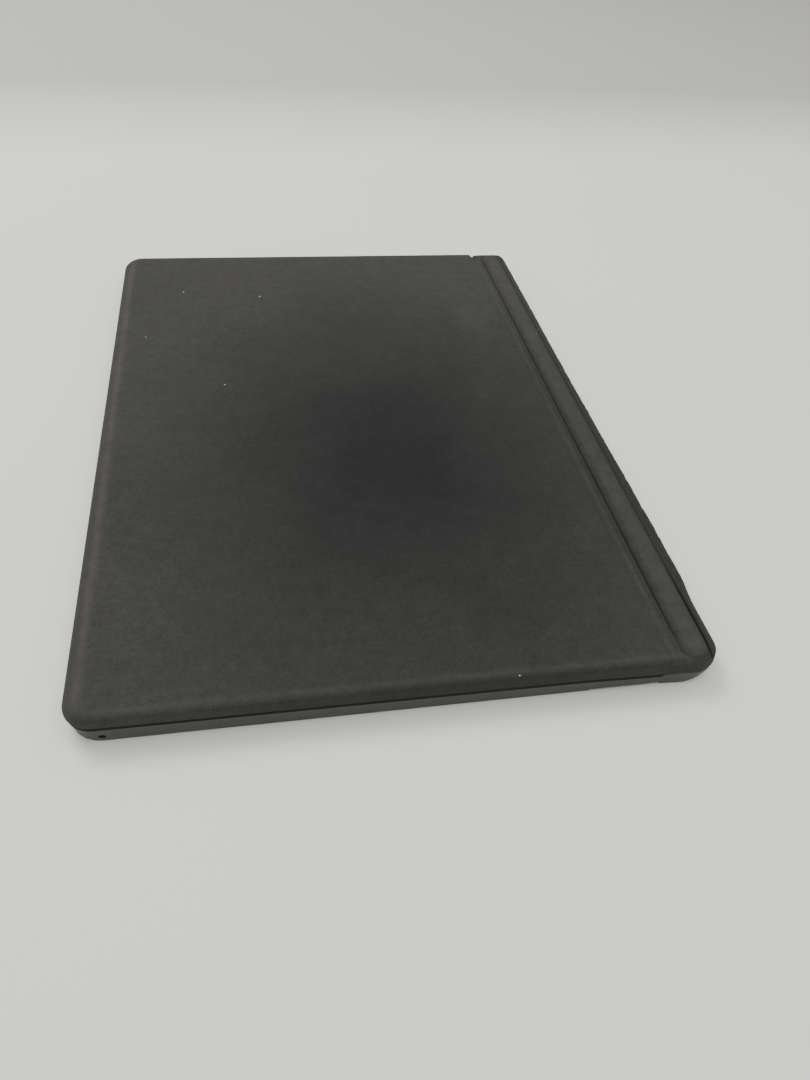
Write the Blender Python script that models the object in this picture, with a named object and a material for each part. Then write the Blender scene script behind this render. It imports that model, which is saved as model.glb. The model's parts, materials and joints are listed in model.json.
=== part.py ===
"""Tablet keyboard case, closed and lying on its back.

A hard tray with a solid spine holds the tablet and carries a kickstand in its underside. A soft
microfibre cover runs from the spine's edge over two fold lines to a thin keyboard slab, which lies
face down over the tray. X runs from the free edge to the spine, Y along the spine, Z up.

Every length below is in millimetres, and mesh_of turns them into metres.
"""

import math

import bmesh
import bpy
from mathutils import Matrix, Vector

MM = 0.001

# Whole case. The origin is in the middle of the footprint, on the surface that it lies on.
LENGTH = 292.0
WIDTH = 208.0
HEIGHT = 12.5
HALF_X = WIDTH / 2
HALF_Y = LENGTH / 2
CORNER = 9.0
CORNER_STEPS = 6
ROUND_STEPS = 12
CUT_PAST = 2.0

# Levels.
TRAY_RECESS_TOP = 1.3
TRAY_FLOOR = 1.9
TRAY_RIM = 7.0
SPINE_TOP = 10.0
SPINE_ROUND = HEIGHT / 2
DECK_FACE = 8.0
KEY_WELL = 8.5
KEY_WELL_BACK = 9.05
DECK_BACK = 9.2
DOME_SHEET = (10.3, 10.45)
CIRCUIT = (10.6, 10.85)
BACKING = (11.0, 11.45)
SKIN_UNDER = 11.6
LAMINATE_UNDER = 10.6

# Fold lines, measured in from the spine edge.
CREASE_IN = 5.5
CREASE_HALF = 0.8
GROOVE_IN = 16.0
GROOVE_HALF = 1.7
CREASE_X = HALF_X - CREASE_IN
GROOVE_X = HALF_X - GROOVE_IN
FOLD_Z = 11.6
SPINE_X = HALF_X - 20.5
SLAB_END_X = HALF_X - 23.0
TAIL_END_X = GROOVE_X - GROOVE_HALF
STRIP_X = (GROOVE_X + GROOVE_HALF, CREASE_X - CREASE_HALF)
EDGE_BAND_X = CREASE_X + CREASE_HALF

# Tray.
PART_GAP = 0.3
STACK_GAP = 0.1
TRAY_END_X = SPINE_X - PART_GAP
TRAY_WALL = 3.5
TRAY_END_WALL = 2.2
BAY_X = (-HALF_X + TRAY_WALL, TRAY_END_X - TRAY_END_WALL)
BAY_Y = HALF_Y - TRAY_WALL
BAY_CORNER = 7.0
LINING_THICK = 0.3
CAMERA_SIZE = (12.0, 30.0)
CAMERA_AT = (-86.0, 116.0)
SIDE_HOLE_AT = (10.9, 2.5)
SIDE_HOLE_RADIUS = 0.8
SIDE_HOLE_STRETCH = 1.45
SIDE_HOLE_DEPTH = 2.4

# Kickstand and its two pinned hinges.
STAND_AXIS_X = -6.0
STAND_AXIS_Z = 0.95
STAND_Z = (0.25, 1.15)
STAND_END_X = 80.3
STAND_HALF_Y = HALF_Y - 5.1
STAND_CORNER = 5.0
STAND_RELIEF = 2.0
STAND_SIDE_GAP = 0.3
STAND_BACK = 1.0
NOTCH_X = (HALF_X - 45.6, SPINE_X + CUT_PAST)
NOTCH_TOP = 1.1
FOOT_STRIP_WIDTH = 1.1
FOOT_STRIP_HALF_Y = 120.0
HINGE_Y = 112.0
KNUCKLE_RADIUS = 0.75
KNUCKLE_HALF = 4.0
OUTER_KNUCKLE = 5.5
PIN_RADIUS = 0.35
PIN_BORE = 0.48
LEAF_LENGTH = 14.0
LEAF_Z = (1.15, 1.85)
SCREW_IN = (5.0, 10.5)
SCREW_HEAD_RADIUS = 1.2
SCREW_SHANK_RADIUS = 0.6
SCREW_HEAD_Z = (1.5, 1.8)
SCREW_SHANK_FOOT = 0.7
SCREW_CLEARANCE = 0.25

# Spine and what it holds.
SPINE_CAVITY_X = HALF_X - 3.5
SPINE_CAVITY_Y = 136.0
SPINE_CAVITY_Z = (1.8, 8.6)
CLAMP_BAR = ((EDGE_BAND_X + 0.4, HALF_X - 3.2), 134.0, (10.2, 10.8))
EDGE_SKIN_Z = (10.3, 12.2)
CONNECTOR_HALF_Y = 8.5
CONNECTOR_Z = (3.2, 6.0)
CONNECTOR_X = (BAY_X[1] + 0.3, SPINE_X + 5.0)
PIN_COUNT = 5
PIN_PITCH = 3.0
PIN_LENGTH = 1.0
FLEX_HALF_Y = 11.5
FLEX_THICK = 0.15
FLEX_SPINE_Z = (5.0, 10.9)
FLEX_LEVEL = 10.68
FLEX_CHANNEL_Z = 10.9
MAGNET_Y = (60.0, 100.0)
SPINE_MAGNET_X = (SPINE_X + 3.0, SPINE_X + 7.0)
SPINE_MAGNET_Z = (5.4, 8.4)

# Strip between the two fold lines.
STRIP_STIFFENER_Z = (LAMINATE_UNDER, 11.4)
STRIP_MAGNET_Z = (11.0, 11.45)
STRIP_INSET = 0.5
STRIP_MAGNET_HALF_X = 2.0

# Keyboard slab.
SKIN_WALL = 0.9
SKIN_HEM_Z = 8.6
DECK_INSET = 1.2
DECK_X = (-HALF_X + DECK_INSET, SLAB_END_X - DECK_INSET)
DECK_Y = HALF_Y - DECK_INSET
DECK_CORNER = 7.5
BACKING_INSET = 2.5
KEY_PITCH = 19.0
KEY_GAP = 2.6
KEY_CORNER = 1.4
KEY_CORNER_STEPS = 1
KEY_Z = (8.1, 9.4)
KEY_FACE = 0.7
KEY_WALL = 1.2
KEY_TRAVEL = 0.8
HOLE_CLEARANCE = 0.4
BRIDGE_Z = (9.15, 9.4)
BRIDGE_HALF = 1.5
BRIDGE_BITE = 0.6
KEYBOARD_UNITS = 14.5
FUNCTION_ROW_X = 65.0
FUNCTION_ROW_DEPTH = 9.0
LETTER_ROWS_X = (50.0, 31.0, 12.0, -7.0, -26.0)
KEY_WELL_X = (-37.0, 71.5)
KEY_WELL_Y = 139.5
DOME_RADII = (2.4, 1.3)
DOME_SIDES = 6
DOME_TIP = KEY_Z[0] + KEY_FACE + KEY_TRAVEL + 0.05
TRACKPAD_X = (-94.0, -45.0)
TRACKPAD_HALF_Y = 52.0
TRACKPAD_Z = (8.25, 9.25)
TRACKPAD_GAP = 0.4
TRACKPAD_CORNER = 3.0
TRACKPAD_BOARD_Z = (10.1, 10.8)
TRACKPAD_DOME_Z = (9.85, 10.0)
TRACKPAD_DOME_RADIUS = 3.0
BOARD_X = (73.0, 79.0)
BOARD_HALF_Y = 30.0
BOARD_Z = (9.4, 10.4)
LIGHT_RADIUS = 0.6
LIGHT_Z = (8.45, 9.35)

# Colour, roughness and metallic value of each material.
FINISHES = {
    "microfibre": ((0.045, 0.044, 0.041), 0.95, 0.0),
    "tray_plastic": ((0.085, 0.083, 0.078), 0.55, 0.0),
    "deck_plastic": ((0.040, 0.040, 0.041), 0.70, 0.0),
    "keycap_plastic": ((0.022, 0.022, 0.023), 0.50, 0.0),
    "rubber": ((0.020, 0.020, 0.020), 0.85, 0.0),
    "steel": ((0.550, 0.550, 0.560), 0.30, 1.0),
    "anodised": ((0.090, 0.090, 0.092), 0.40, 1.0),
    "magnet": ((0.600, 0.600, 0.580), 0.25, 1.0),
    "gold": ((0.800, 0.560, 0.200), 0.25, 1.0),
    "circuit_board": ((0.020, 0.080, 0.040), 0.45, 0.0),
    "polyester_film": ((0.550, 0.350, 0.120), 0.35, 0.0),
    "silicone": ((0.090, 0.090, 0.093), 0.60, 0.0),
    "fibre_sheet": ((0.100, 0.110, 0.090), 0.60, 0.0),
    "felt": ((0.060, 0.060, 0.062), 1.00, 0.0),
    "light_pipe": ((0.800, 0.800, 0.780), 0.20, 0.0),
    "trackpad_glass": ((0.030, 0.030, 0.032), 0.30, 0.0),
}


# ---------------------------------------------------------------- shapes

def rounded_outline(x_range, y_range, corners, steps=CORNER_STEPS):
    """Anticlockwise points of a rectangle with one arc at each corner, from the low corner on."""
    x0, x1 = x_range
    y0, y1 = y_range
    centres = (
        (x0 + corners[0], y0 + corners[0]),
        (x1 - corners[1], y0 + corners[1]),
        (x1 - corners[2], y1 - corners[2]),
        (x0 + corners[3], y1 - corners[3]),
    )
    points = []
    for index, ((x, y), radius) in enumerate(zip(centres, corners)):
        start = math.pi * (1 + index / 2)
        for step in range(steps + 1):
            angle = start + math.pi / 2 * step / steps
            points.append((x + radius * math.cos(angle), y + radius * math.sin(angle)))
    return points


def case_outline(inset, corner=CORNER):
    """The case's plan, drawn in by inset."""
    radius = max(corner - inset, 0.5)
    return rounded_outline(
        (-HALF_X + inset, HALF_X - inset), (-HALF_Y + inset, HALF_Y - inset), (radius,) * 4
    )


def edge_round(height):
    """How far the case's rounded spine edge stands back from its widest line at a height."""
    return SPINE_ROUND - math.sqrt(SPINE_ROUND**2 - (height - SPINE_ROUND) ** 2)


def spine_outline(inset, height, corner=CORNER):
    """The case's plan at a height, with the round of its spine edge."""
    radius = max(corner - inset, 0.5)
    end = HALF_X - edge_round(height)
    sides = (-HALF_Y + inset, HALF_Y - inset)
    return rounded_outline((-HALF_X + inset, end), sides, (radius,) * 4)


def loft(rings):
    """A closed solid through rings of equal point count, each given as (outline, height)."""
    mesh = bmesh.new()
    loops = []
    for outline, height in rings:
        loops.append([mesh.verts.new((x, y, height)) for x, y in outline])
    for below, above in zip(loops, loops[1:]):
        for index, vert in enumerate(below):
            after = (index + 1) % len(below)
            mesh.faces.new((vert, below[after], above[after], above[index]))
    mesh.faces.new(list(reversed(loops[0])))
    mesh.faces.new(loops[-1])
    return mesh


def prism(outline, z_range):
    return loft([(outline, z_range[0]), (outline, z_range[1])])


def block(x_range, y_range, z_range):
    (x0, x1), (y0, y1) = x_range, y_range
    return prism([(x0, y0), (x1, y0), (x1, y1), (x0, y1)], z_range)


def plate(x_range, half_y, z_range, corner):
    return prism(rounded_outline(x_range, (-half_y, half_y), (corner,) * 4), z_range)


def disc(centre, radius, z_range, steps=ROUND_STEPS, top_radius=None):
    """An upright cylinder, or a cone frustum where top_radius is given."""
    rings = []
    for size, height in ((radius, z_range[0]), (top_radius or radius, z_range[1])):
        turns = [2 * math.pi * step / steps for step in range(steps)]
        ring = [(centre[0] + size * math.cos(a), centre[1] + size * math.sin(a)) for a in turns]
        rings.append((ring, height))
    return loft(rings)


def rod_along_y(x, z, radius, y_range, stretch=1.0):
    """A cylinder lying along Y; stretch widens it in X."""
    mesh = disc((0, 0), radius, (0, y_range[1] - y_range[0]))
    turn = Matrix.Rotation(-math.pi / 2, 4, "X")
    widen = Matrix.Diagonal((stretch, 1, 1, 1))
    mesh.transform(Matrix.Translation((x, y_range[0], z)) @ widen @ turn)
    return mesh


def rod_along_x(y, z, radius, x_range):
    mesh = disc((0, 0), radius, (0, x_range[1] - x_range[0]), 8)
    mesh.transform(Matrix.Translation((x_range[0], y, z)) @ Matrix.Rotation(math.pi / 2, 4, "Y"))
    return mesh


def together(shapes):
    """Several closed shapes in one mesh, for a cut or a join that works on all of them."""
    joined = bmesh.new()
    for shape in shapes:
        piece = bpy.data.meshes.new("piece")
        shape.to_mesh(piece)
        shape.free()
        joined.from_mesh(piece)
        bpy.data.meshes.remove(piece)
    return joined


# ---------------------------------------------------------------- objects

def clear_scene():
    for thing in list(bpy.data.objects):
        bpy.data.objects.remove(thing)


def material_of(finish):
    found = bpy.data.materials.get(finish)
    if found:
        return found
    colour, roughness, metallic = FINISHES[finish]
    made = bpy.data.materials.new(finish)
    made.use_nodes = True
    shader = made.node_tree.nodes["Principled BSDF"]
    shader.inputs["Base Color"].default_value = (*colour, 1.0)
    shader.inputs["Roughness"].default_value = roughness
    shader.inputs["Metallic"].default_value = metallic
    made.diffuse_color = (*colour, 1.0)
    return made


def mesh_of(name, shape, origin):
    """The shape as a Blender mesh in metres, measured from origin."""
    shape.transform(Matrix.Scale(MM, 4) @ Matrix.Translation(-Vector(origin)))
    bmesh.ops.recalc_face_normals(shape, faces=shape.faces)
    mesh = bpy.data.meshes.new(name)
    shape.to_mesh(mesh)
    shape.free()
    mesh.shade_smooth()
    mesh.set_sharp_from_angle(angle=math.radians(35))
    return mesh


class Body:
    """An empty on the axis that a group of pieces turns or slides on."""

    def __init__(self, name, pivot, parent=None):
        self.pivot = Vector(pivot)
        self.empty = bpy.data.objects.new(name, None)
        offset = self.pivot - parent.pivot if parent else self.pivot
        self.empty.location = offset * MM
        if parent:
            self.empty.parent = parent.empty
        bpy.context.scene.collection.objects.link(self.empty)

    def add(self, name, shape, finish):
        """One piece, with its origin on this body's pivot."""
        piece = bpy.data.objects.new(name, mesh_of(name, shape, self.pivot))
        piece.data.materials.append(material_of(finish))
        piece.parent = self.empty
        bpy.context.scene.collection.objects.link(piece)
        return piece


def with_tool(piece, shape, operation):
    """Adds a Boolean modifier whose tool is drawn as wire and never rendered."""
    name = f"{piece.name}_{operation.lower()}_{len(piece.modifiers) + 1}"
    tool = bpy.data.objects.new(name, mesh_of(name, shape, (0, 0, 0)))
    tool.hide_render = True
    tool.display_type = "WIRE"
    bpy.context.scene.collection.objects.link(tool)
    modifier = piece.modifiers.new(name, "BOOLEAN")
    modifier.operation = operation
    modifier.object = tool


def cut(piece, *shapes):
    with_tool(piece, together(shapes), "DIFFERENCE")


def join(piece, *shapes):
    with_tool(piece, together(shapes), "UNION")


def keep_within(piece, x_range):
    """Keeps the part of a piece between two X planes."""
    tall = (-CUT_PAST, HEIGHT + CUT_PAST)
    wide = (-HALF_Y - CUT_PAST, HALF_Y + CUT_PAST)
    with_tool(piece, block(x_range, wide, tall), "INTERSECT")


# ---------------------------------------------------------------- tray, kickstand and spine

def case_side(top, top_inset):
    """The hard lower body's outside: a rounded bottom edge under an upright wall."""
    profile = [(1.4, 0.0), (1.05, 0.25), (0.85, 0.7), (0.8, 2.6)]
    profile += [(0.8, height) for height in (4.4, 6.2, 8.0) if height < top - 0.5]
    profile += [(0.8, top - 0.5), (top_inset, top)]
    corner = CORNER + 2.0
    mesh = loft([(spine_outline(inset, height, corner), height) for inset, height in profile])
    bmesh.ops.triangulate(mesh, faces=mesh.faces[:])
    return mesh


def camera_window(z_range):
    (width, length), (x, y) = CAMERA_SIZE, CAMERA_AT
    sides = (x - width / 2, x + width / 2), (y - length / 2, y + length / 2)
    return prism(rounded_outline(*sides, (width / 2 - 0.1,) * 4), z_range)


def hinge_centres():
    return (("near", -HINGE_Y), ("far", HINGE_Y))


def screw_places():
    """(x, y) of the two screws in each hinge leaf."""
    return [(STAND_AXIS_X - inwards, y) for _, y in hinge_centres() for inwards in SCREW_IN]


def leaf_pockets():
    """Room in the tray's floor for each hinge leaf."""
    pockets = []
    for _, y in hinge_centres():
        x_range = (STAND_AXIS_X - LEAF_LENGTH - PART_GAP, STAND_AXIS_X)
        y_range = (y - KNUCKLE_HALF - PART_GAP, y + KNUCKLE_HALF + PART_GAP)
        pockets.append(block(x_range, y_range, (LEAF_Z[0] - STACK_GAP, TRAY_FLOOR + CUT_PAST)))
    return pockets


def knuckle_slots():
    """Room through the tray's floor for all the knuckles of each hinge."""
    slots = []
    reach = KNUCKLE_HALF + OUTER_KNUCKLE + PART_GAP
    for _, y in hinge_centres():
        x_range = (STAND_AXIS_X - STAND_RELIEF + 0.5, STAND_AXIS_X + 1.5)
        slots.append(block(x_range, (y - reach, y + reach), (0.5, TRAY_FLOOR + 1)))
    return slots


def add_tray(root):
    tray = root.add("back_shell", case_side(TRAY_RIM, 1.2), "tray_plastic")
    keep_within(tray, (-HALF_X - CUT_PAST, TRAY_END_X))
    bay = rounded_outline(BAY_X, (-BAY_Y, BAY_Y), (BAY_CORNER, 1.0, 1.0, BAY_CORNER))
    cut(tray, prism(bay, (TRAY_FLOOR, TRAY_RIM + CUT_PAST)))
    recess_x = (STAND_AXIS_X - STAND_RELIEF, TRAY_END_X - 1.0)
    recess_y = STAND_HALF_Y + STAND_SIDE_GAP
    cut(tray, plate(recess_x, recess_y, (-CUT_PAST, TRAY_RECESS_TOP), 1.0))
    notch_depth = HALF_Y - STAND_HALF_Y + 1.0
    for side in (-1, 1):
        ends = sorted((side * (HALF_Y + CUT_PAST), side * (HALF_Y - notch_depth)))
        cut(tray, block(NOTCH_X, ends, (-CUT_PAST, NOTCH_TOP)))
    cut(tray, *leaf_pockets())
    cut(tray, *knuckle_slots())
    bore_z = (SCREW_SHANK_FOOT - SCREW_CLEARANCE, TRAY_FLOOR)
    bore_radius = SCREW_SHANK_RADIUS + SCREW_CLEARANCE
    cut(tray, *[disc(place, bore_radius, bore_z) for place in screw_places()])
    cut(tray, camera_window((-CUT_PAST, TRAY_FLOOR + CUT_PAST)))
    side_x, side_z = -HALF_X + SIDE_HOLE_AT[0], SIDE_HOLE_AT[1]
    side_y = (-HALF_Y - CUT_PAST, -HALF_Y + SIDE_HOLE_DEPTH)
    cut(tray, rod_along_y(side_x, side_z, SIDE_HOLE_RADIUS, side_y, SIDE_HOLE_STRETCH))
    slot_y = CONNECTOR_HALF_Y + PART_GAP
    slot_z = (CONNECTOR_Z[0] - PART_GAP, CONNECTOR_Z[1] + PART_GAP)
    cut(tray, block((BAY_X[1] - 1, TRAY_END_X + 1), (-slot_y, slot_y), slot_z))


def add_lining(root):
    inset = 0.3
    outline = rounded_outline(
        (BAY_X[0] + inset, BAY_X[1] - inset), (-BAY_Y + inset, BAY_Y - inset),
        (BAY_CORNER - inset, 1.0, 1.0, BAY_CORNER - inset),
    )
    low = TRAY_FLOOR + STACK_GAP
    lining = root.add("tray_lining", prism(outline, (low, low + LINING_THICK)), "felt")
    cut(lining, camera_window((TRAY_FLOOR - 1, TRAY_FLOOR + CUT_PAST)))


def add_hinge_bases(root):
    for side, y in hinge_centres():
        leaf_x = (STAND_AXIS_X - LEAF_LENGTH, STAND_AXIS_X + 0.2)
        knuckle_y = (y - KNUCKLE_HALF, y + KNUCKLE_HALF)
        leaf = block(leaf_x, knuckle_y, (LEAF_Z[0], STAND_AXIS_Z + KNUCKLE_RADIUS - 0.05))
        base = root.add(f"kickstand_hinge_base_{side}", leaf, "steel")
        join(base, rod_along_y(STAND_AXIS_X, STAND_AXIS_Z, KNUCKLE_RADIUS, knuckle_y))
        bore_y = (knuckle_y[0] - 1, knuckle_y[1] + 1)
        cut(base, rod_along_y(STAND_AXIS_X, STAND_AXIS_Z, PIN_BORE, bore_y))
        places = [place for place in screw_places() if place[1] == y]
        shank_bore = SCREW_SHANK_RADIUS + SCREW_CLEARANCE
        head_bore = SCREW_HEAD_RADIUS + SCREW_CLEARANCE
        head_z = SCREW_HEAD_Z[0] - STACK_GAP
        cut(base, *[disc(place, shank_bore, (0, head_z + 0.01)) for place in places])
        cut(base, *[disc(place, head_bore, (head_z, TRAY_FLOOR)) for place in places])


def add_hinge_screws(root):
    for number, place in enumerate(screw_places(), 1):
        shank = disc(place, SCREW_SHANK_RADIUS, (SCREW_SHANK_FOOT, SCREW_HEAD_Z[0] + 0.1))
        screw = root.add(f"hinge_screw_{number}", shank, "steel")
        join(screw, disc(place, SCREW_HEAD_RADIUS, SCREW_HEAD_Z))


def add_spine(root):
    spine = root.add("spine_block", case_side(SPINE_TOP, 0.9), "tray_plastic")
    keep_within(spine, (SPINE_X, HALF_X + CUT_PAST))
    cavity_y = (-SPINE_CAVITY_Y, SPINE_CAVITY_Y)
    cut(spine, block((SPINE_X - 1, SPINE_CAVITY_X), cavity_y, SPINE_CAVITY_Z))
    slot_y = FLEX_HALF_Y + PART_GAP
    slot_z = (SPINE_CAVITY_Z[1] - 1, SPINE_TOP + 1)
    cut(spine, block((CREASE_X - 0.6, CREASE_X + 0.6), (-slot_y, slot_y), slot_z))


def add_connector(root):
    y_range = (-CONNECTOR_HALF_Y, CONNECTOR_HALF_Y)
    root.add("connector_housing", block(CONNECTOR_X, y_range, CONNECTOR_Z), "deck_plastic")
    front = CONNECTOR_X[0] - STACK_GAP
    middle = sum(CONNECTOR_Z) / 2
    bar_y = PIN_PITCH * (PIN_COUNT - 1) / 2 + 0.6
    bar = block((front - 0.2, front), (-bar_y, bar_y), (middle - 0.3, middle + 0.3))
    pins = root.add("contact_pins", bar, "gold")
    rods = []
    for index in range(PIN_COUNT):
        y = (index - (PIN_COUNT - 1) / 2) * PIN_PITCH
        rods.append(rod_along_x(y, middle, 0.55, (front - PIN_LENGTH, front - 0.05)))
    join(pins, *rods)


def magnet_ranges():
    return (("near", (-MAGNET_Y[1], -MAGNET_Y[0])), ("far", MAGNET_Y))


def add_spine_magnets(root):
    for side, y_range in magnet_ranges():
        bar = block(SPINE_MAGNET_X, y_range, SPINE_MAGNET_Z)
        root.add(f"spine_magnet_{side}", bar, "magnet")


def add_edge_band(root):
    """The cover's last band, glued along the spine edge over its clamp bar."""
    x_range, half_y, z_range = CLAMP_BAR
    root.add("skin_clamp_bar", plate(x_range, half_y, z_range, 0.4), "anodised")
    low, high = EDGE_SKIN_Z
    profile = ((0.5, low), (0.0, low + 0.5), (0.0, high - 0.6), (0.4, high - 0.15), (1.0, high))
    shape = loft([(spine_outline(inset, height), height) for inset, height in profile])
    bmesh.ops.triangulate(shape, faces=shape.faces[:])
    band = root.add("edge_skin", shape, "microfibre")
    keep_within(band, (EDGE_BAND_X, HALF_X + CUT_PAST))
    pocket_x = (EDGE_BAND_X - 1, x_range[1] + PART_GAP)
    pocket_y = (-half_y - PART_GAP, half_y + PART_GAP)
    cut(band, block(pocket_x, pocket_y, (low - 1, z_range[1] + 0.15)))


def add_flex_in_spine(root):
    x_range = (CREASE_X - FLEX_THICK / 2, CREASE_X + FLEX_THICK / 2)
    ribbon = block(x_range, (-FLEX_HALF_Y, FLEX_HALF_Y), FLEX_SPINE_Z)
    root.add("flex_tail_spine", ribbon, "polyester_film")


def add_kickstand(root):
    stand = Body("kickstand_axis", (STAND_AXIS_X, 0, STAND_AXIS_Z), root)
    near_edge = STAND_AXIS_X + STAND_BACK
    corners = (0.8, STAND_CORNER, STAND_CORNER, 0.8)
    outline = rounded_outline((near_edge, STAND_END_X), (-STAND_HALF_Y, STAND_HALF_Y), corners)
    panel = stand.add("kickstand_plate", prism(outline, STAND_Z), "tray_plastic")
    arms, barrels, bores, gaps = [], [], [], []
    inner = KNUCKLE_HALF + PART_GAP / 2
    outer = KNUCKLE_HALF + OUTER_KNUCKLE
    for _, y in hinge_centres():
        for ends in ((y - outer, y - inner), (y + inner, y + outer)):
            arms.append(block((STAND_AXIS_X, near_edge + 1), ends, (STAND_Z[0], STAND_Z[1])))
            barrels.append(rod_along_y(STAND_AXIS_X, STAND_AXIS_Z, KNUCKLE_RADIUS, ends))
        bore_y = (y - outer - 1, y + outer + 1)
        bores.append(rod_along_y(STAND_AXIS_X, STAND_AXIS_Z, PIN_BORE, bore_y))
        gap_x = (STAND_AXIS_X - 1, near_edge + 0.5)
        gaps.append(block(gap_x, (y - inner, y + inner), (-1, TRAY_FLOOR)))
    join(panel, *arms)
    join(panel, *barrels)
    cut(panel, *bores)
    cut(panel, *gaps)
    foot_x = (STAND_END_X + 0.15, STAND_END_X + FOOT_STRIP_WIDTH)
    foot = block(foot_x, (-FOOT_STRIP_HALF_Y, FOOT_STRIP_HALF_Y), STAND_Z)
    stand.add("kickstand_foot_strip", foot, "rubber")
    for side, y in hinge_centres():
        pin_y = (y - outer + 0.3, y + outer - 0.3)
        pin = rod_along_y(STAND_AXIS_X, STAND_AXIS_Z, PIN_RADIUS, pin_y)
        stand.add(f"kickstand_pin_{side}", pin, "steel")


# ---------------------------------------------------------------- cover

def flex_channel():
    """Room in the laminate's underside for the flex tail."""
    y = FLEX_HALF_Y + PART_GAP
    return block((SLAB_END_X - 2, CREASE_X), (-y, y), (LAMINATE_UNDER - 0.5, FLEX_CHANNEL_Z))


def add_strip(strip):
    low = SKIN_UNDER
    profile = ((0.0, low), (0.0, HEIGHT - 0.5), (0.5, HEIGHT - 0.15), (1.3, HEIGHT))
    skin = strip.add("strip_skin", loft([(case_outline(i), z) for i, z in profile]), "microfibre")
    keep_within(skin, STRIP_X)
    inner_x = (STRIP_X[0] + STRIP_INSET, STRIP_X[1] - STRIP_INSET)
    half_y = HALF_Y - 3.0
    stiffener = strip.add(
        "strip_stiffener", plate(inner_x, half_y, STRIP_STIFFENER_Z, 1.0), "fibre_sheet"
    )
    middle = sum(STRIP_X) / 2
    magnet_x = (middle - STRIP_MAGNET_HALF_X, middle + STRIP_MAGNET_HALF_X)
    pockets = []
    for side, (y0, y1) in magnet_ranges():
        strip.add(f"strip_magnet_{side}", block(magnet_x, (y0, y1), STRIP_MAGNET_Z), "magnet")
        pocket_x = (magnet_x[0] - PART_GAP, magnet_x[1] + PART_GAP)
        pocket_z = (STRIP_MAGNET_Z[0] - STACK_GAP, SKIN_UNDER)
        pockets.append(block(pocket_x, (y0 - PART_GAP, y1 + PART_GAP), pocket_z))
    cut(stiffener, *pockets)
    cut(stiffener, flex_channel())
    ribbon_z = (FLEX_LEVEL, FLEX_LEVEL + FLEX_THICK)
    ribbon = block(STRIP_X, (-FLEX_HALF_Y, FLEX_HALF_Y), ribbon_z)
    strip.add("flex_tail_strip", ribbon, "polyester_film")


def add_outer_skin(slab):
    profile = (
        (0.35, SKIN_HEM_Z), (0.0, SKIN_HEM_Z + 0.6), (0.0, HEIGHT - 1.4),
        (0.4, HEIGHT - 0.6), (1.2, HEIGHT - 0.15), (2.4, HEIGHT),
    )
    shape = loft([(case_outline(inset), height) for inset, height in profile])
    skin = slab.add("outer_skin", shape, "microfibre")
    keep_within(skin, (-HALF_X - CUT_PAST, TAIL_END_X))
    inside = rounded_outline(
        (-HALF_X + SKIN_WALL, SLAB_END_X - SKIN_WALL), (-HALF_Y + SKIN_WALL, HALF_Y - SKIN_WALL),
        (CORNER - SKIN_WALL, 1.0, 1.0, CORNER - SKIN_WALL),
    )
    cut(skin, prism(inside, (0, SKIN_UNDER)))
    wide = (-HALF_Y - CUT_PAST, HALF_Y + CUT_PAST)
    cut(skin, block((SLAB_END_X, HALF_X), wide, (0, LAMINATE_UNDER)))
    cut(skin, flex_channel())


def add_backing(slab):
    x_range = (-HALF_X + BACKING_INSET, DECK_X[1])
    y = HALF_Y - BACKING_INSET
    outline = rounded_outline(x_range, (-y, y), (DECK_CORNER, 1.0, 1.0, DECK_CORNER))
    slab.add("backing_plate", prism(outline, BACKING), "fibre_sheet")


def add_deck(slab, keys):
    """The frame round the keys and the trackpad."""
    outline = rounded_outline(DECK_X, (-DECK_Y, DECK_Y), (DECK_CORNER, 1.0, 1.0, DECK_CORNER))
    deck = slab.add("key_deck", prism(outline, (DECK_FACE, DECK_BACK)), "deck_plastic")
    cut(deck, plate(KEY_WELL_X, KEY_WELL_Y, (DECK_FACE - 1, KEY_WELL), 2.0))
    cut(deck, plate(KEY_WELL_X, KEY_WELL_Y, (KEY_WELL_BACK, DECK_BACK + 1), 2.0))
    through = (DECK_FACE - 1, DECK_BACK + 1)
    holes = [block(*key_sides(*key, HOLE_CLEARANCE), through) for key in keys]
    cut(deck, *holes)
    pad_x = (TRACKPAD_X[0] - TRACKPAD_GAP, TRACKPAD_X[1] + TRACKPAD_GAP)
    pad_y = TRACKPAD_HALF_Y + TRACKPAD_GAP
    cut(deck, plate(pad_x, pad_y, through, TRACKPAD_CORNER + TRACKPAD_GAP))
    cut(deck, disc(light_place(), LIGHT_RADIUS + 0.15, through, 8))


def light_place():
    """The lock light sits beyond the end of the function row."""
    return (FUNCTION_ROW_X + 10.5, KEY_WELL_Y - 3.0)


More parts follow.
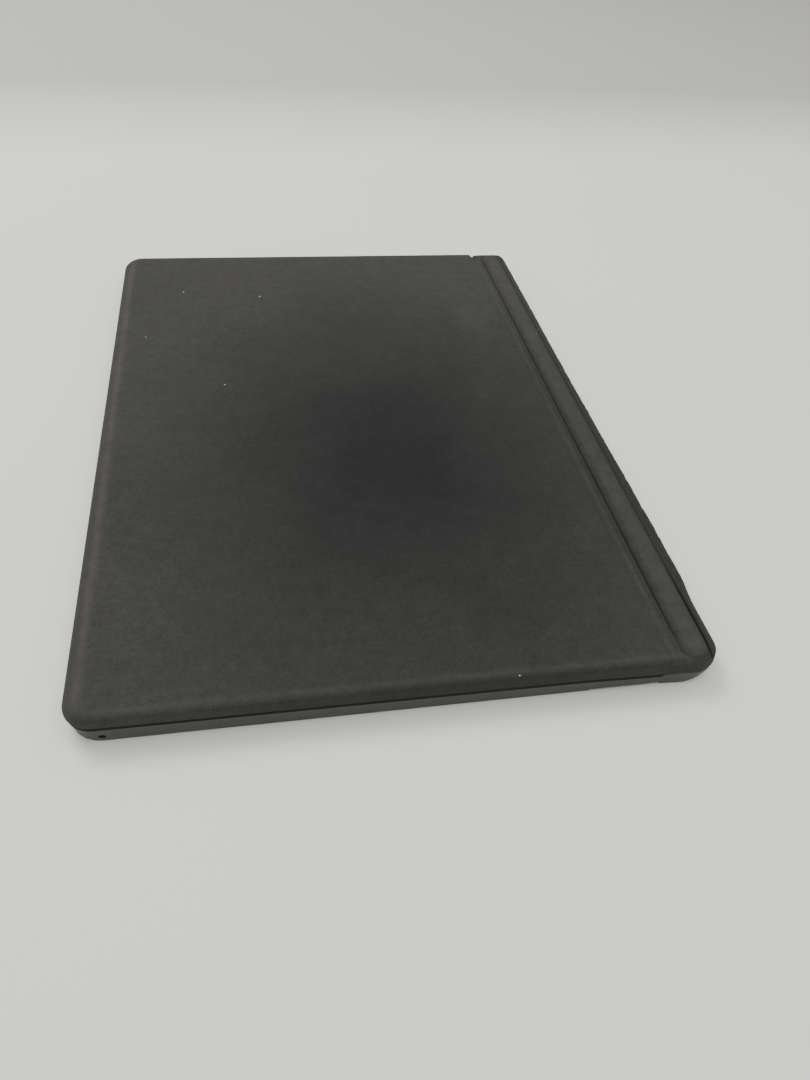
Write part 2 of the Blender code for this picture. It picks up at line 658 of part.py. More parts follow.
def add_electronics(slab, keys):
    sheet_x = (KEY_WELL_X[0] + 1, KEY_WELL_X[1] - 1)
    sheet = slab.add("dome_sheet", plate(sheet_x, KEY_WELL_Y - 1, DOME_SHEET, 2.0), "silicone")
    tip_to_root = (DOME_TIP, DOME_SHEET[0] + 0.05)
    domes = []
    for centre, size in keys:
        reach = min(DOME_RADII[0], min(size) / 2 - KEY_WALL - 0.4)
        domes.append(disc(centre, DOME_RADII[1], tip_to_root, DOME_SIDES, top_radius=reach))
    join(sheet, *domes)
    circuit_x = (KEY_WELL_X[0] + 1, BOARD_X[1])
    slab.add("key_circuit", plate(circuit_x, KEY_WELL_Y - 1, CIRCUIT, 2.0), "polyester_film")
    board_y = (-BOARD_HALF_Y, BOARD_HALF_Y)
    slab.add("controller_board", block(BOARD_X, board_y, BOARD_Z), "circuit_board")
    ribbon_z = (FLEX_LEVEL, FLEX_LEVEL + FLEX_THICK)
    ribbon_x = (SLAB_END_X - 1.7, TAIL_END_X)
    ribbon = block(ribbon_x, (-FLEX_HALF_Y, FLEX_HALF_Y), ribbon_z)
    slab.add("flex_tail_keyboard", ribbon, "polyester_film")
    slab.add("lock_light", disc(light_place(), LIGHT_RADIUS, LIGHT_Z, 8), "light_pipe")


def add_trackpad(slab):
    """A plate that tips about its edge nearest the keys and clicks a dome at its other edge."""
    tip_axis = Body("trackpad_axis", (TRACKPAD_X[1], 0, TRACKPAD_Z[1]), slab)
    face = plate(TRACKPAD_X, TRACKPAD_HALF_Y, TRACKPAD_Z, TRACKPAD_CORNER)
    tip_axis.add("trackpad_plate", face, "trackpad_glass")
    board_x = (TRACKPAD_X[0] + 2, TRACKPAD_X[1] + 2)
    board = plate(board_x, TRACKPAD_HALF_Y - 2, TRACKPAD_BOARD_Z, 2.0)
    slab.add("trackpad_board", board, "circuit_board")
    place = (TRACKPAD_X[0] + 7, 0)
    dome = disc(place, TRACKPAD_DOME_RADIUS - 1, TRACKPAD_DOME_Z, top_radius=TRACKPAD_DOME_RADIUS)
    slab.add("trackpad_switch_dome", dome, "steel")


# ---------------------------------------------------------------- keys

def key_sides(centre, size, grow):
    """The X and Y ranges of a cap, grown on every side."""
    sides = []
    for middle, extent in zip(centre, size):
        sides.append((middle - extent / 2 - grow, middle + extent / 2 + grow))
    return sides


def cap_body(centre, size):
    outline = rounded_outline(*key_sides(centre, size, 0), (KEY_CORNER,) * 4, KEY_CORNER_STEPS)
    return prism(outline, KEY_Z)


def caps_between(x, depth, first_unit, units):
    """(centre, size) of neighbouring caps along a row, from first_unit, for a list of widths."""
    caps = []
    at = first_unit - KEYBOARD_UNITS / 2
    for width in units:
        middle = (at + width / 2) * KEY_PITCH
        caps.append(((x, middle), (depth, width * KEY_PITCH - KEY_GAP)))
        at += width
    return caps


def key_rows():
    """Caps that share one moulded row, by node name."""
    depth = KEY_PITCH - KEY_GAP
    number_x, top_x, home_x, bottom_x, _ = LETTER_ROWS_X
    function_units = [KEYBOARD_UNITS / 14] * 14
    return {
        "keys_function_row": caps_between(FUNCTION_ROW_X, FUNCTION_ROW_DEPTH, 0, function_units),
        "keys_number_row": caps_between(number_x, depth, 0, [1] * 13),
        "keys_top_letter_row": caps_between(top_x, depth, 1.5, [1] * 13),
        "keys_home_letter_row": caps_between(home_x, depth, 1.75, [1] * 11),
        "keys_bottom_letter_row": caps_between(bottom_x, depth, 2.25, [1] * 10),
    }


def single_keys():
    """Caps that move by themselves, by node name."""
    depth = KEY_PITCH - KEY_GAP
    number_x, top_x, home_x, bottom_x, space_x = LETTER_ROWS_X
    keys = {}
    for name, x, start, width in (
        ("key_backspace", number_x, 13, 1.5),
        ("key_tab", top_x, 0, 1.5),
        ("key_caps_lock", home_x, 0, 1.75),
        ("key_enter", home_x, 12.75, 1.75),
        ("key_left_shift", bottom_x, 0, 2.25),
        ("key_right_shift", bottom_x, 12.25, 2.25),
        ("key_left_control", space_x, 0, 1.25),
        ("key_fn", space_x, 1.25, 1),
        ("key_menu", space_x, 2.25, 1),
        ("key_left_alt", space_x, 3.25, 1.25),
        ("key_space", space_x, 4.5, 5),
        ("key_right_alt", space_x, 9.5, 1),
        ("key_right_control", space_x, 10.5, 1),
        ("key_arrow_left", space_x, 11.5, 1),
        ("key_arrow_right", space_x, 13.5, 1),
    ):
        keys[name] = caps_between(x, depth, start, [width])[0]
    half_depth = depth / 2 - 0.6
    for name, offset in (("key_arrow_up", 1), ("key_arrow_down", -1)):
        x = space_x + offset * (depth - half_depth) / 2
        keys[name] = caps_between(x, half_depth, 12.5, [1])[0]
    return keys


def cap_hollow(centre, size):
    """Room inside a cap for its dome."""
    return block(*key_sides(centre, size, -KEY_WALL), (KEY_Z[0] + KEY_FACE, KEY_Z[1] + 1))


def add_single_key(slab, name, centre, size):
    slide = Body(f"{name}_axis", (*centre, KEY_Z[0]), slab)
    cap = slide.add(name, cap_body(centre, size), "keycap_plastic")
    cut(cap, cap_hollow(centre, size))


def add_key_row(slab, name, caps):
    """A row of caps moulded on short bridges that pass behind the deck."""
    slide = Body(f"{name}_axis", (caps[0][0][0], 0, KEY_Z[0]), slab)
    shapes = [cap_body(centre, size) for centre, size in caps]
    row = slide.add(name, together(shapes), "keycap_plastic")
    cut(row, *[cap_hollow(centre, size) for centre, size in caps])
    bridges = []
    for (first, size), (second, _) in zip(caps, caps[1:]):
        start = first[1] + size[1] / 2 - BRIDGE_BITE
        end = second[1] - size[1] / 2 + BRIDGE_BITE
        x_range = (first[0] - BRIDGE_HALF, first[0] + BRIDGE_HALF)
        bridges.append(block(x_range, (start, end), BRIDGE_Z))
    join(row, *bridges)


# ---------------------------------------------------------------- the whole case

def build():
    clear_scene()
    root = Body("case_origin", (0, 0, 0))
    add_tray(root)
    add_lining(root)
    add_hinge_bases(root)
    add_hinge_screws(root)
    add_spine(root)
    add_connector(root)
    add_spine_magnets(root)
    add_edge_band(root)
    add_flex_in_spine(root)
    add_kickstand(root)

    strip = Body("crease_axis", (CREASE_X, 0, FOLD_Z), root)
    add_strip(strip)

    slab = Body("groove_axis", (GROOVE_X, 0, FOLD_Z), strip)
    rows = key_rows()
    singles = single_keys()
    every_key = [cap for caps in rows.values() for cap in caps] + list(singles.values())
    add_outer_skin(slab)
    add_backing(slab)
    add_deck(slab, every_key)
    add_electronics(slab, every_key)
    add_trackpad(slab)
    for name, caps in rows.items():
        add_key_row(slab, name, caps)
    for name, (centre, size) in singles.items():
        add_single_key(slab, name, centre, size)


build()
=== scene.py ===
"""The look of a tablet keyboard case, closed and lying on its back, built round its CAD frame.

The soft cover is two pieces of microfibre that meet along the middle of the strip, so that each
crosses one fold line only. Its inner face, the spine, the tray's lining and the keycaps are remade here
too. Every other piece is its CAD node with softened edges. Lengths are in metres unless MM is used.
"""
import json
import math

import bmesh
import bpy
from mathutils import Matrix, Vector, noise


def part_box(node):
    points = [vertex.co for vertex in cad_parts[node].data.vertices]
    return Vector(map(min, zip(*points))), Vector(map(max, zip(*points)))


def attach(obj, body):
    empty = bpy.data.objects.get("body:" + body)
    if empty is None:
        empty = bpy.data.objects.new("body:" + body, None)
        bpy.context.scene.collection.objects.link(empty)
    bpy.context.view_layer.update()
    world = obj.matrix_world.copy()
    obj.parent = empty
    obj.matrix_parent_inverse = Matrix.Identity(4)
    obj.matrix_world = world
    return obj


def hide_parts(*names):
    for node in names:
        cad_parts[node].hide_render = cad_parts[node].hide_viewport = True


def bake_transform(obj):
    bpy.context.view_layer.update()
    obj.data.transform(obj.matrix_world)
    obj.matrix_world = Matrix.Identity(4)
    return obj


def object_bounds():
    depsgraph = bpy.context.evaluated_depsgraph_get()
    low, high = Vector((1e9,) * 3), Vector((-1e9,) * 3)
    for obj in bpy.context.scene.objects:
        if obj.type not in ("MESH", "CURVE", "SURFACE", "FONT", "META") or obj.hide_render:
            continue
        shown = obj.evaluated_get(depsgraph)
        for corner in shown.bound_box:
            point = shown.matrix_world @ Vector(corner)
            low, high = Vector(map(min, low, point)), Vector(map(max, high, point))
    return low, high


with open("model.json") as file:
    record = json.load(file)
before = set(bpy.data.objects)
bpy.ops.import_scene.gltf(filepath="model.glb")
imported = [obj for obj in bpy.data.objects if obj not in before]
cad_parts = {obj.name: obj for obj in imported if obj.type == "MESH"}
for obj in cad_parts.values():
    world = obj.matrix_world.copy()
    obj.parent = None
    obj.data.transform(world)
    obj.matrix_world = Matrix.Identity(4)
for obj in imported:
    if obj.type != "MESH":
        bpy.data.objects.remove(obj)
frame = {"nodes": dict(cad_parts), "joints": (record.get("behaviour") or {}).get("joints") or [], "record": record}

CAD_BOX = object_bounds()
MM = 0.001

# Driving places, all from the frame. X runs from the free edge to the spine, Y along the spine.
CAD_LOW, CAD_HIGH = CAD_BOX
HALF_X = CAD_HIGH[0]
HALF_Y = CAD_HIGH[1]
TOP = CAD_HIGH[2]
SPINE_ROUND = (CAD_HIGH[2] - CAD_LOW[2]) / 2
JOINTS = {joint["name"]: joint for joint in frame["joints"]}
GROOVE_X = JOINTS["groove_fold"]["pos_m"][0]
CREASE_X = JOINTS["crease_fold"]["pos_m"][0]
STRIP_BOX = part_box("strip_skin")
SPINE_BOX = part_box("spine_block")
DECK_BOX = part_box("key_deck")
LINING_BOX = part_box("tray_lining")
EDGE_BAND_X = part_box("edge_skin")[0].x
STRIP_MIDDLE_X = (STRIP_BOX[0].x + STRIP_BOX[1].x) / 2
SLOT_OF = {part["node"]: part["material_slot"] for part in frame["record"]["subparts"]}

# Cover: outline, shoulders as (width, depth), and hem heights.
FREE_CORNER = 9.0 * MM
SPINE_CORNER = 10.0 * MM
SPINE_FAR_CORNER = 5.0 * MM
SIDE_SHOULDER = (2.4 * MM, 1.75 * MM)
FREE_SHOULDER = (4.0 * MM, 3.8 * MM)
SPINE_SHOULDER_END_Z = 9.25 * MM
HEM_FREE_Z = 7.85 * MM
HEM_SLAB_END_Z = 6.95 * MM
HEM_SLAB_FALL = 0.75 * MM
HEM_SLAB_FALL_X = (52 * MM, 83 * MM)
HEM_STRIP_Z = 10.08 * MM
HEM_BAND_Z = 5.6 * MM
HEM_SPINE_Z = 6.3 * MM
HEM_TURN = 0.35 * MM
HEM_RISE_X = (SPINE_BOX[0].x - 0.45 * MM, SPINE_BOX[0].x - 0.2 * MM)
HEM_LEAST_DROP = 0.12 * MM
HEM_BAND_FROM_X = EDGE_BAND_X - 0.1 * MM
HEM_LIP_IN = 0.45 * MM
HEM_LIP = 1.65 * MM
HEM_STRIP_TURN = 0.08 * MM
HEM_RETURN = 0.75 * MM
HEM_TUCK = 0.8 * MM
# The dark layer under the hem is a painted shadow; it is the last points of the hem's section.
LIP_POINTS = 4
LIP_PAINTED_SHADOW = 1.0
WALL_STEPS = 4
TURN_STEPS = 4
WALL_RIPPLE = 0.05 * MM

# Cover: relief of its top.
BOARD_EDGE_IN = (3.4 * MM, 5.0 * MM)
BOARD_STEP = 0.13 * MM
SWELL = 0.05 * MM
SWELL_SIZE = 46 * MM
GROOVE_DEPTH = 0.36 * MM
GROOVE_FAR_DEPTH = 1.35 * MM
GROOVE_FAR_SHIFT = 4.0 * MM
GROOVE_FLOOR = 0.6 * MM
GROOVE_RIM = 1.7 * MM
GROOVE_SEAM_AT = 0.85 * MM
GROOVE_SEAM = 0.26 * MM
GROOVE_SEAM_WIDTH = 0.3 * MM
GROOVE_SOFT_END = (4 * MM, 17 * MM)
GROOVE_SHIFT_FROM_Y = HALF_Y - 15 * MM
GROOVE_DEEPER_Y = (HALF_Y - 9 * MM, HALF_Y - 1 * MM)
SECOND_CREASE_AT = 4.2 * MM
SECOND_CREASE = 0.05 * MM
SECOND_CREASE_WIDTH = 0.7 * MM
SECOND_CREASE_WANDER = 0.6 * MM
STRIP_LEVEL = 0.62 * MM
PAD_RISE = 0.84 * MM
PAD_X = (GROOVE_X + 1.1 * MM, CREASE_X + 0.1 * MM)
PAD_Y = (-HALF_Y + 1.5 * MM, HALF_Y - 2.6 * MM)
PAD_CORNER = 4.3 * MM
PAD_SOFT = 2.4 * MM
CREASE_LINE_X = CREASE_X + 0.35 * MM
CREASE_DEPTH = 0.62 * MM
CREASE_WIDTH = 0.42 * MM
EDGE_BAND_RISE = 0.22 * MM
FRAY = 0.17 * MM
FRAY_FROM_Y = (-124 * MM, -96 * MM)
BAND_SWELL = 0.72 * MM
BAND_SWELL_FROM_Y = (-122 * MM, -106 * MM)
BAND_SWELL_TO_Y = (-96 * MM, 30 * MM)

# Cover: shares of the full pale colour, where handling has made the nap pale. On the shoulders the bands are also
# a painted highlight.
FREE_EDGE_WEAR_AND_HIGHLIGHT = 0.62
NEAR_SIDE_WEAR_AND_HIGHLIGHT = 0.26
FAR_SIDE_WEAR_AND_HIGHLIGHT = 0.20
RIM_WEAR = 0.16
PAD_WEAR = 0.26
SMUDGE_WEAR = 0.26
SMUDGE_AT = (67 * MM, 74 * MM)
SMUDGE_SPAN = (7, 13)

# Cover: shares of full darkening, dirt and painted shade in the folds, and painted shade on the rough band and
# round the pad.
SLAB_SEAM_DIRT_AND_SHADE = 0.22
STRIP_SEAM_DIRT_AND_SHADE = 0.40
SECOND_CREASE_DIRT_AND_SHADE = 0.08
CREASE_DIRT_AND_SHADE = 0.88
BAND_PAINTED_SHADE = 0.34
PAD_RING_PAINTED_SHADE = 0.34
MOST_DIRT_AND_SHADE = 0.92
SIDE_DIRT_AND_SHADE_SHARE = 0.8

# Cover: mesh density.
EDGE_REACH = 9.0 * MM
EDGE_LINES = 14
EDGE_CROWD = 1.9
PLAIN_STEP = 2.5 * MM
FOLD_STEP = 0.3 * MM
END_STEP = 0.6 * MM
FRAY_STEP = 0.55 * MM
SPINE_FOLD_STEP = 0.8 * FOLD_STEP
BAND_LINES = 11
BAND_CROWD = 1.6


# -------- small helpers

def smooth(value, start, end):
    """0 up to start, 1 from end on, and an even S between them. Start may be above end."""
    share = min(max((value - start) / (end - start), 0.0), 1.0)
    return share * share * (3 - 2 * share)


def bell(value, centre, width):
    return math.exp(-((value - centre) / width) ** 2)


def ripple(x, y, size, layer):
    """Even noise from about -1 to 1 with bumps of the given size."""
    return noise.noise(Vector((x / size, y / size, layer)))


def spread(start, end, step):
    """Evenly spaced values from start up to, but not including, end."""
    count = max(1, round((end - start) / step))
    return [start + (end - start) * index / count for index in range(count)]


def crowded(reach, count, power):
    """Distances from 0 to just under reach, closest together near 0."""
    return [reach * (index / count) ** power for index in range(count)]


def add_object(name, mesh):
    piece = bpy.data.objects.new(name, mesh)
    bpy.context.scene.collection.objects.link(piece)
    return piece


def mesh_from(name, points, faces):
    mesh = bpy.data.meshes.new(name)
    mesh.from_pydata(points, [], faces)
    mesh.validate()
    for polygon in mesh.polygons:
        polygon.use_smooth = True
    return mesh


def store(mesh, name, values):
    """Keeps one number per point on the mesh, for its material."""
    attribute = mesh.attributes.new(name, "FLOAT", "POINT")
    attribute.data.foreach_set("value", values)


def store_rest(mesh):
    """Keeps each point's rest place, so that a material doesn't slide on fabric that bends."""
    attribute = mesh.attributes.new("rest", "FLOAT_VECTOR", "POINT")
    flat = [value for vertex in mesh.vertices for value in vertex.co]
    attribute.data.foreach_set("vector", flat)


def thicken(piece, amount):
    """Gives a sheet its thickness, below the face that was made."""
    modifier = piece.modifiers.new("thickness", "SOLIDIFY")
    modifier.thickness = amount
    modifier.offset = -1.0


def fabric_mesh(name, points, faces, wear_and_highlight, dirt_and_shade):
    """A mesh that carries what the microfibre's material reads."""
    mesh = mesh_from(name, points, faces)
    # Paler where handled, with a painted highlight on the shoulders.
    store(mesh, "wear_and_highlight", wear_and_highlight)
    # Dirt and painted shade in the folds, and painted shadow under the hem.
    store(mesh, "dirt_and_shade", dirt_and_shade)
    store_rest(mesh)
    return mesh


def grid_faces(columns, rows):
    """Quads of a grid whose points run along its rows first."""
    faces = []
    for i in range(columns - 1):
        for j in range(rows - 1):
            corner = i * rows + j
            faces.append((corner, corner + 1, corner + rows + 1, corner + rows))
    return faces


def rounded_outline(x_range, y_range, corners, steps):
    """Anticlockwise points of a rectangle with one arc at each corner, from the low corner on."""
    (x0, x1), (y0, y1) = x_range, y_range
    centres = (
        (x0 + corners[0], y0 + corners[0]),
        (x1 - corners[1], y0 + corners[1]),
        (x1 - corners[2], y1 - corners[2]),
        (x0 + corners[3], y1 - corners[3]),
    )
    points = []
    for index, ((x, y), radius) in enumerate(zip(centres, corners)):
        for step in range(steps + 1):
            angle = math.pi * (1 + index / 2) + math.pi / 2 * step / steps
            points.append((x + radius * math.cos(angle), y + radius * math.sin(angle)))
    return points


def level_ring(x, y, half, radius, steps, height):
    """A rounded rectangle of the given half size, level at a height."""
    outline = rounded_outline((-half.x, half.x), (-half.y, half.y), (radius,) * 4, steps)
    return [(x + across, y + along, height) for across, along in outline]


def loft(points, faces, rings):
    """Adds a closed skin through rings of equal point count to points and faces."""
    first = len(points)
    count = len(rings[0])
    for ring in rings:
        points.extend(ring)
    for level in range(len(rings) - 1):
        for index in range(count):
            after = (index + 1) % count
            low = first + level * count
            high = low + count
            faces.append((low + index, low + after, high + after, high + index))
    faces.append(tuple(range(first + count - 1, first - 1, -1)))
    last = first + (len(rings) - 1) * count
    faces.append(tuple(range(last, last + count)))


# -------- materials

class Surface:
    """A procedural material. Its textures read rest places on fabric and object places elsewhere."""

    def __init__(self, name, on_fabric=False):
        self.material = bpy.data.materials.new(name)
        self.material.use_nodes = True
        self.tree = self.material.node_tree
        self.shader = self.tree.nodes["Principled BSDF"]
        if on_fabric:
            self.place = self.attribute("rest", "Vector")
        else:
            self.place = self.node("ShaderNodeTexCoord").outputs["Object"]

    def node(self, kind, **settings):
        made = self.tree.nodes.new(kind)
        for key, value in settings.items():
            setattr(made, key, value)
        return made

    def plug(self, value, socket):
        """Links an output to a socket, or sets the socket to a plain value."""
        if isinstance(value, bpy.types.NodeSocket):
            self.tree.links.new(value, socket)
        else:
            socket.default_value = value

    def attribute(self, name, output="Fac"):
        return self.node("ShaderNodeAttribute", attribute_name=name).outputs[output]

    def stretched(self, x, y, z):
        """Places scaled by each number, so that a texture is drawn out along an axis."""
        mapping = self.node("ShaderNodeMapping")
        self.plug(self.place, mapping.inputs["Vector"])
        mapping.inputs["Scale"].default_value = (x, y, z)
        return mapping.outputs["Vector"]

    def noise(self, size, detail=2.0, roughness=0.5, place=None):
        texture = self.node("ShaderNodeTexNoise")
        self.plug(place or self.place, texture.inputs["Vector"])
        texture.inputs["Scale"].default_value = 1 / size
        texture.inputs["Detail"].default_value = detail
        texture.inputs["Roughness"].default_value = roughness
        return texture.outputs["Fac"]

    def cells(self, size):
        """Distance to the nearest point of a scatter, in cell sizes, and each point's random colour."""
        texture = self.node("ShaderNodeTexVoronoi")
        self.plug(self.place, texture.inputs["Vector"])
        texture.inputs["Scale"].default_value = 1 / size
        return texture.outputs["Distance"], texture.outputs["Color"]

    def mapped(self, value, low, high, to_low=0.0, to_high=1.0):
        """Value stretched from low..high to to_low..to_high and held inside them."""
        made = self.node("ShaderNodeMapRange")
        self.plug(value, made.inputs["Value"])
        for name, number in zip(("From Min", "From Max", "To Min", "To Max"), (low, high, to_low, to_high)):
            made.inputs[name].default_value = number
        return made.outputs["Result"]

    def maths(self, operation, first, second=0.0):
        made = self.node("ShaderNodeMath", operation=operation)
        self.plug(first, made.inputs[0])
        self.plug(second, made.inputs[1])
        return made.outputs["Value"]

    def vector_maths(self, operation, first, second=(0, 0, 0)):
        made = self.node("ShaderNodeVectorMath", operation=operation)
        self.plug(first, made.inputs[0])
        self.plug(second, made.inputs[1])
        return made.outputs["Value" if operation == "LENGTH" else "Vector"]

    def blended(self, share, first, second, mode="MIX"):
        """One colour over another. Colours are outputs or (red, green, blue)."""
        made = self.node("ShaderNodeMix", data_type="RGBA", blend_type=mode)
        self.plug(share, made.inputs["Factor"])
        for colour, socket in ((first, made.inputs["A"]), (second, made.inputs["B"])):
            self.plug((*colour, 1.0) if isinstance(colour, tuple) else colour, socket)
        return made.outputs["Result"]

    def shaded(self, colour, value, low, high):
        """A colour made darker or lighter by a texture, from low to high times."""
        factor = self.mapped(value, 0.25, 0.75, low, high)
        grey = self.node("ShaderNodeCombineColor")
        for name in ("Red", "Green", "Blue"):
            self.plug(factor, grey.inputs[name])
        return self.blended(1.0, colour, grey.outputs["Color"], "MULTIPLY")

    def bumped(self, layers):
        """Chains bumps, given as (height output, real height of the bump in metres)."""
        normal = None
        for height, distance in layers:
            bump = self.node("ShaderNodeBump")
            bump.inputs["Distance"].default_value = distance
            self.plug(height, bump.inputs["Height"])
            if normal:
                self.plug(normal, bump.inputs["Normal"])
            normal = bump.outputs["Normal"]
        self.plug(normal, self.shader.inputs["Normal"])

    def finish(self, colour, roughness, **constants):
        self.plug(colour, self.shader.inputs["Base Color"])
        self.plug(roughness, self.shader.inputs["Roughness"])
        for name, value in constants.items():
            self.shader.inputs[name.replace("_", " ")].default_value = value
        return self.material


# The middle colour is the fabric darkened by painted shade; the pale colour also paints a highlight on the
# shoulders; the darkest colour paints dirt and shade in the folds.
FABRIC_SHADED_MIDDLE = (0.0148, 0.0155, 0.0157)
FABRIC_OUTSIDE = (0.0412, 0.0404, 0.0382)
FABRIC_WORN_AND_HIGHLIT = (0.078, 0.076, 0.070)
FABRIC_DIRT_AND_SHADE = (0.0016, 0.0016, 0.0015)
FABRIC_SHEEN = (0.80, 0.79, 0.76, 1.0)
PAINTED_SHADE_CENTRE = (15 * MM, -34 * MM, 0)
LINT = (0.60, 0.60, 0.57)
LINT_CELL = 17 * MM
LINT_SIZE = 0.020
LINT_RARITY = 0.62


def microfibre():
    """Charcoal suede: powdery mottling, a nap, painted shade in its middle, handled edges that also carry a
    painted highlight, dirt and painted shade in the folds and a little lint.
    """
    s = Surface("microfibre", on_fabric=True)
    blotches = s.noise(34 * MM, 3.0, 0.55)
    mottle = s.noise(5.5 * MM, 4.0, 0.62)
    powder = s.noise(1.3 * MM, 3.0, 0.6)
    nap = s.noise(0.32 * MM, 2.0, 0.6)
    # Painted shade and sheen: the fabric is darkest round a point near its middle and lighter toward its edges.
    from_centre = s.vector_maths("SUBTRACT", s.place, PAINTED_SHADE_CENTRE)
    shares = s.vector_maths("MULTIPLY", from_centre, (1 / HALF_X, 1 / HALF_Y, 0))
    reach = s.vector_maths("LENGTH", shares)
    wandering = s.maths("ADD", reach, s.mapped(blotches, 0.3, 0.7, -0.08, 0.08))
    outward = s.mapped(wandering, 0.15, 1.15)
    colour = s.blended(outward, FABRIC_SHADED_MIDDLE, FABRIC_OUTSIDE)
    colour = s.shaded(colour, mottle, 0.90, 1.10)
    colour = s.shaded(colour, powder, 0.82, 1.20)
    colour = s.shaded(colour, nap, 0.80, 1.22)
    # Paler where handled; on the shoulders this is also a painted highlight.
    worn_and_highlit = s.maths("MULTIPLY", s.attribute("wear_and_highlight"), s.mapped(mottle, 0.3, 0.7, 0.45, 1.0))
    colour = s.blended(worn_and_highlit, colour, FABRIC_WORN_AND_HIGHLIT)
    # Darker toward near black with dirt and painted shade in the folds, and painted shadow under the hem.
    colour = s.blended(s.attribute("dirt_and_shade"), colour, FABRIC_DIRT_AND_SHADE)
    distance, chance = s.cells(LINT_CELL)
    near = s.maths("LESS_THAN", distance, LINT_SIZE)
    channels = s.node("ShaderNodeSeparateColor")
    s.plug(chance, channels.inputs["Color"])
    lint = s.maths("MULTIPLY", near, s.maths("GREATER_THAN", channels.outputs["Red"], LINT_RARITY))
    colour = s.blended(lint, colour, LINT)
    s.bumped([(mottle, 0.06 * MM), (powder, 0.07 * MM), (nap, 0.07 * MM)])
    roughness = s.mapped(powder, 0.3, 0.7, 0.86, 0.98)
    return s.finish(
        colour, roughness, Specular_IOR_Level=0.12, Sheen_Weight=0.04, Sheen_Roughness=0.6,
        Sheen_Tint=FABRIC_SHEEN,
    )


def shell_plastic():
    """Warm grey satin polycarbonate with a fine mould texture and faint rub marks."""
    s = Surface("shell_plastic")
    cloud = s.noise(28 * MM, 3.0)
    grain = s.noise(0.28 * MM, 2.0, 0.6)
    rubs = s.noise(2.6 * MM, 4.0, 0.7, s.stretched(1.0, 0.16, 1.0))
    colour = s.shaded((0.046, 0.045, 0.0415), cloud, 0.92, 1.08)
    colour = s.shaded(colour, grain, 0.94, 1.06)
    colour = s.blended(s.mapped(rubs, 0.62, 0.80, 0.0, 0.30), colour, (0.080, 0.078, 0.073))
    s.bumped([(grain, 0.012 * MM), (rubs, 0.010 * MM)])
    roughness = s.mapped(rubs, 0.3, 0.75, 0.50, 0.38)
    return s.finish(colour, roughness, Specular_IOR_Level=0.45)


def lining_felt():
    """Short brushed lining: matted fibres in two sizes."""
    s = Surface("lining_felt")
    matting = s.noise(7 * MM, 4.0, 0.65)
    fibres = s.noise(0.5 * MM, 3.0, 0.7, s.stretched(1.0, 0.35, 1.0))
    colour = s.shaded((0.066, 0.066, 0.069), matting, 0.84, 1.16)
    colour = s.shaded(colour, fibres, 0.72, 1.30)
    s.bumped([(matting, 0.12 * MM), (fibres, 0.10 * MM)])
    return s.finish(colour, 0.97, Specular_IOR_Level=0.2, Sheen_Weight=0.15, Sheen_Roughness=0.5)


def moulded(name, colour, roughness, grain_size, grain_height):
    """Moulded plastic or rubber with a spark-eroded grain."""
    s = Surface(name)
    cloud = s.noise(18 * MM, 3.0)
    grain = s.noise(grain_size, 2.5, 0.6)
    shade = s.shaded(s.shaded(colour, cloud, 0.88, 1.12), grain, 0.88, 1.12)
    s.bumped([(grain, grain_height)])
    return s.finish(shade, s.mapped(cloud, 0.3, 0.7, roughness - 0.06, roughness + 0.06))


def metal(name, colour, roughness, brushed):
    """Metal with brush lines along Y and a slow change of tone."""
    s = Surface(name)
    lines = s.noise(0.22 * MM, 3.0, 0.6, s.stretched(1.0, 0.03, 1.0))
    cloud = s.noise(9 * MM, 3.0)
    shade = s.shaded(s.shaded(colour, cloud, 0.90, 1.08), lines, 0.90, 1.08)
    s.bumped([(lines, brushed)])
    return s.finish(shade, s.mapped(lines, 0.3, 0.7, roughness - 0.05, roughness + 0.09), Metallic=1.0)


def polyester_film():
    """Amber ribbon with fine copper lines along X."""
    s = Surface("polyester_film")
    lanes = s.node("ShaderNodeTexWave", bands_direction="Y")
    s.plug(s.place, lanes.inputs["Vector"])
    lanes.inputs["Scale"].default_value = 260.0
    lanes.inputs["Distortion"].default_value = 0.0
    tint = s.shaded((0.50, 0.27, 0.07), s.noise(4 * MM, 2.0), 0.85, 1.15)
    track = s.mapped(lanes.outputs["Fac"], 0.62, 0.72)
    s.bumped([(lanes.outputs["Fac"], 0.01 * MM)])
    return s.finish(s.blended(track, tint, (0.62, 0.26, 0.11)), 0.34)


def fibre_sheet():
    """Pressed glass-fibre sheet: a faint plain weave under resin."""
    s = Surface("fibre_sheet")
    warp = s.noise(0.9 * MM, 1.0, 0.4, s.stretched(1.0, 0.12, 1.0))
    weft = s.noise(0.9 * MM, 1.0, 0.4, s.stretched(0.12, 1.0, 1.0))
    weave = s.maths("MAXIMUM", warp, weft)
    colour = s.shaded((0.100, 0.112, 0.090), weave, 0.78, 1.20)
    s.bumped([(weave, 0.03 * MM)])
    return s.finish(colour, s.mapped(weave, 0.3, 0.7, 0.50, 0.66))


def circuit_board():
    """Green solder mask over tracks."""
    s = Surface("circuit_board")
    distance, _ = s.cells(2.4 * MM)
    tracks = s.mapped(distance, 0.40, 0.46)
    colour = s.blended(tracks, (0.012, 0.070, 0.030), (0.020, 0.110, 0.050))
    colour = s.shaded(colour, s.noise(6 * MM, 2.0), 0.9, 1.1)
    s.bumped([(tracks, 0.02 * MM)])
    return s.finish(colour, s.mapped(tracks, 0.0, 1.0, 0.42, 0.34))


def silicone():
    s = Surface("silicone")
    haze = s.noise(1.2 * MM, 3.0)
    colour = s.shaded((0.060, 0.060, 0.062), haze, 0.90, 1.10)
    s.bumped([(haze, 0.01 * MM)])
    roughness = s.mapped(haze, 0.3, 0.7, 0.52, 0.64)
    return s.finish(colour, roughness, Subsurface_Weight=0.2, Subsurface_Scale=1 * MM)


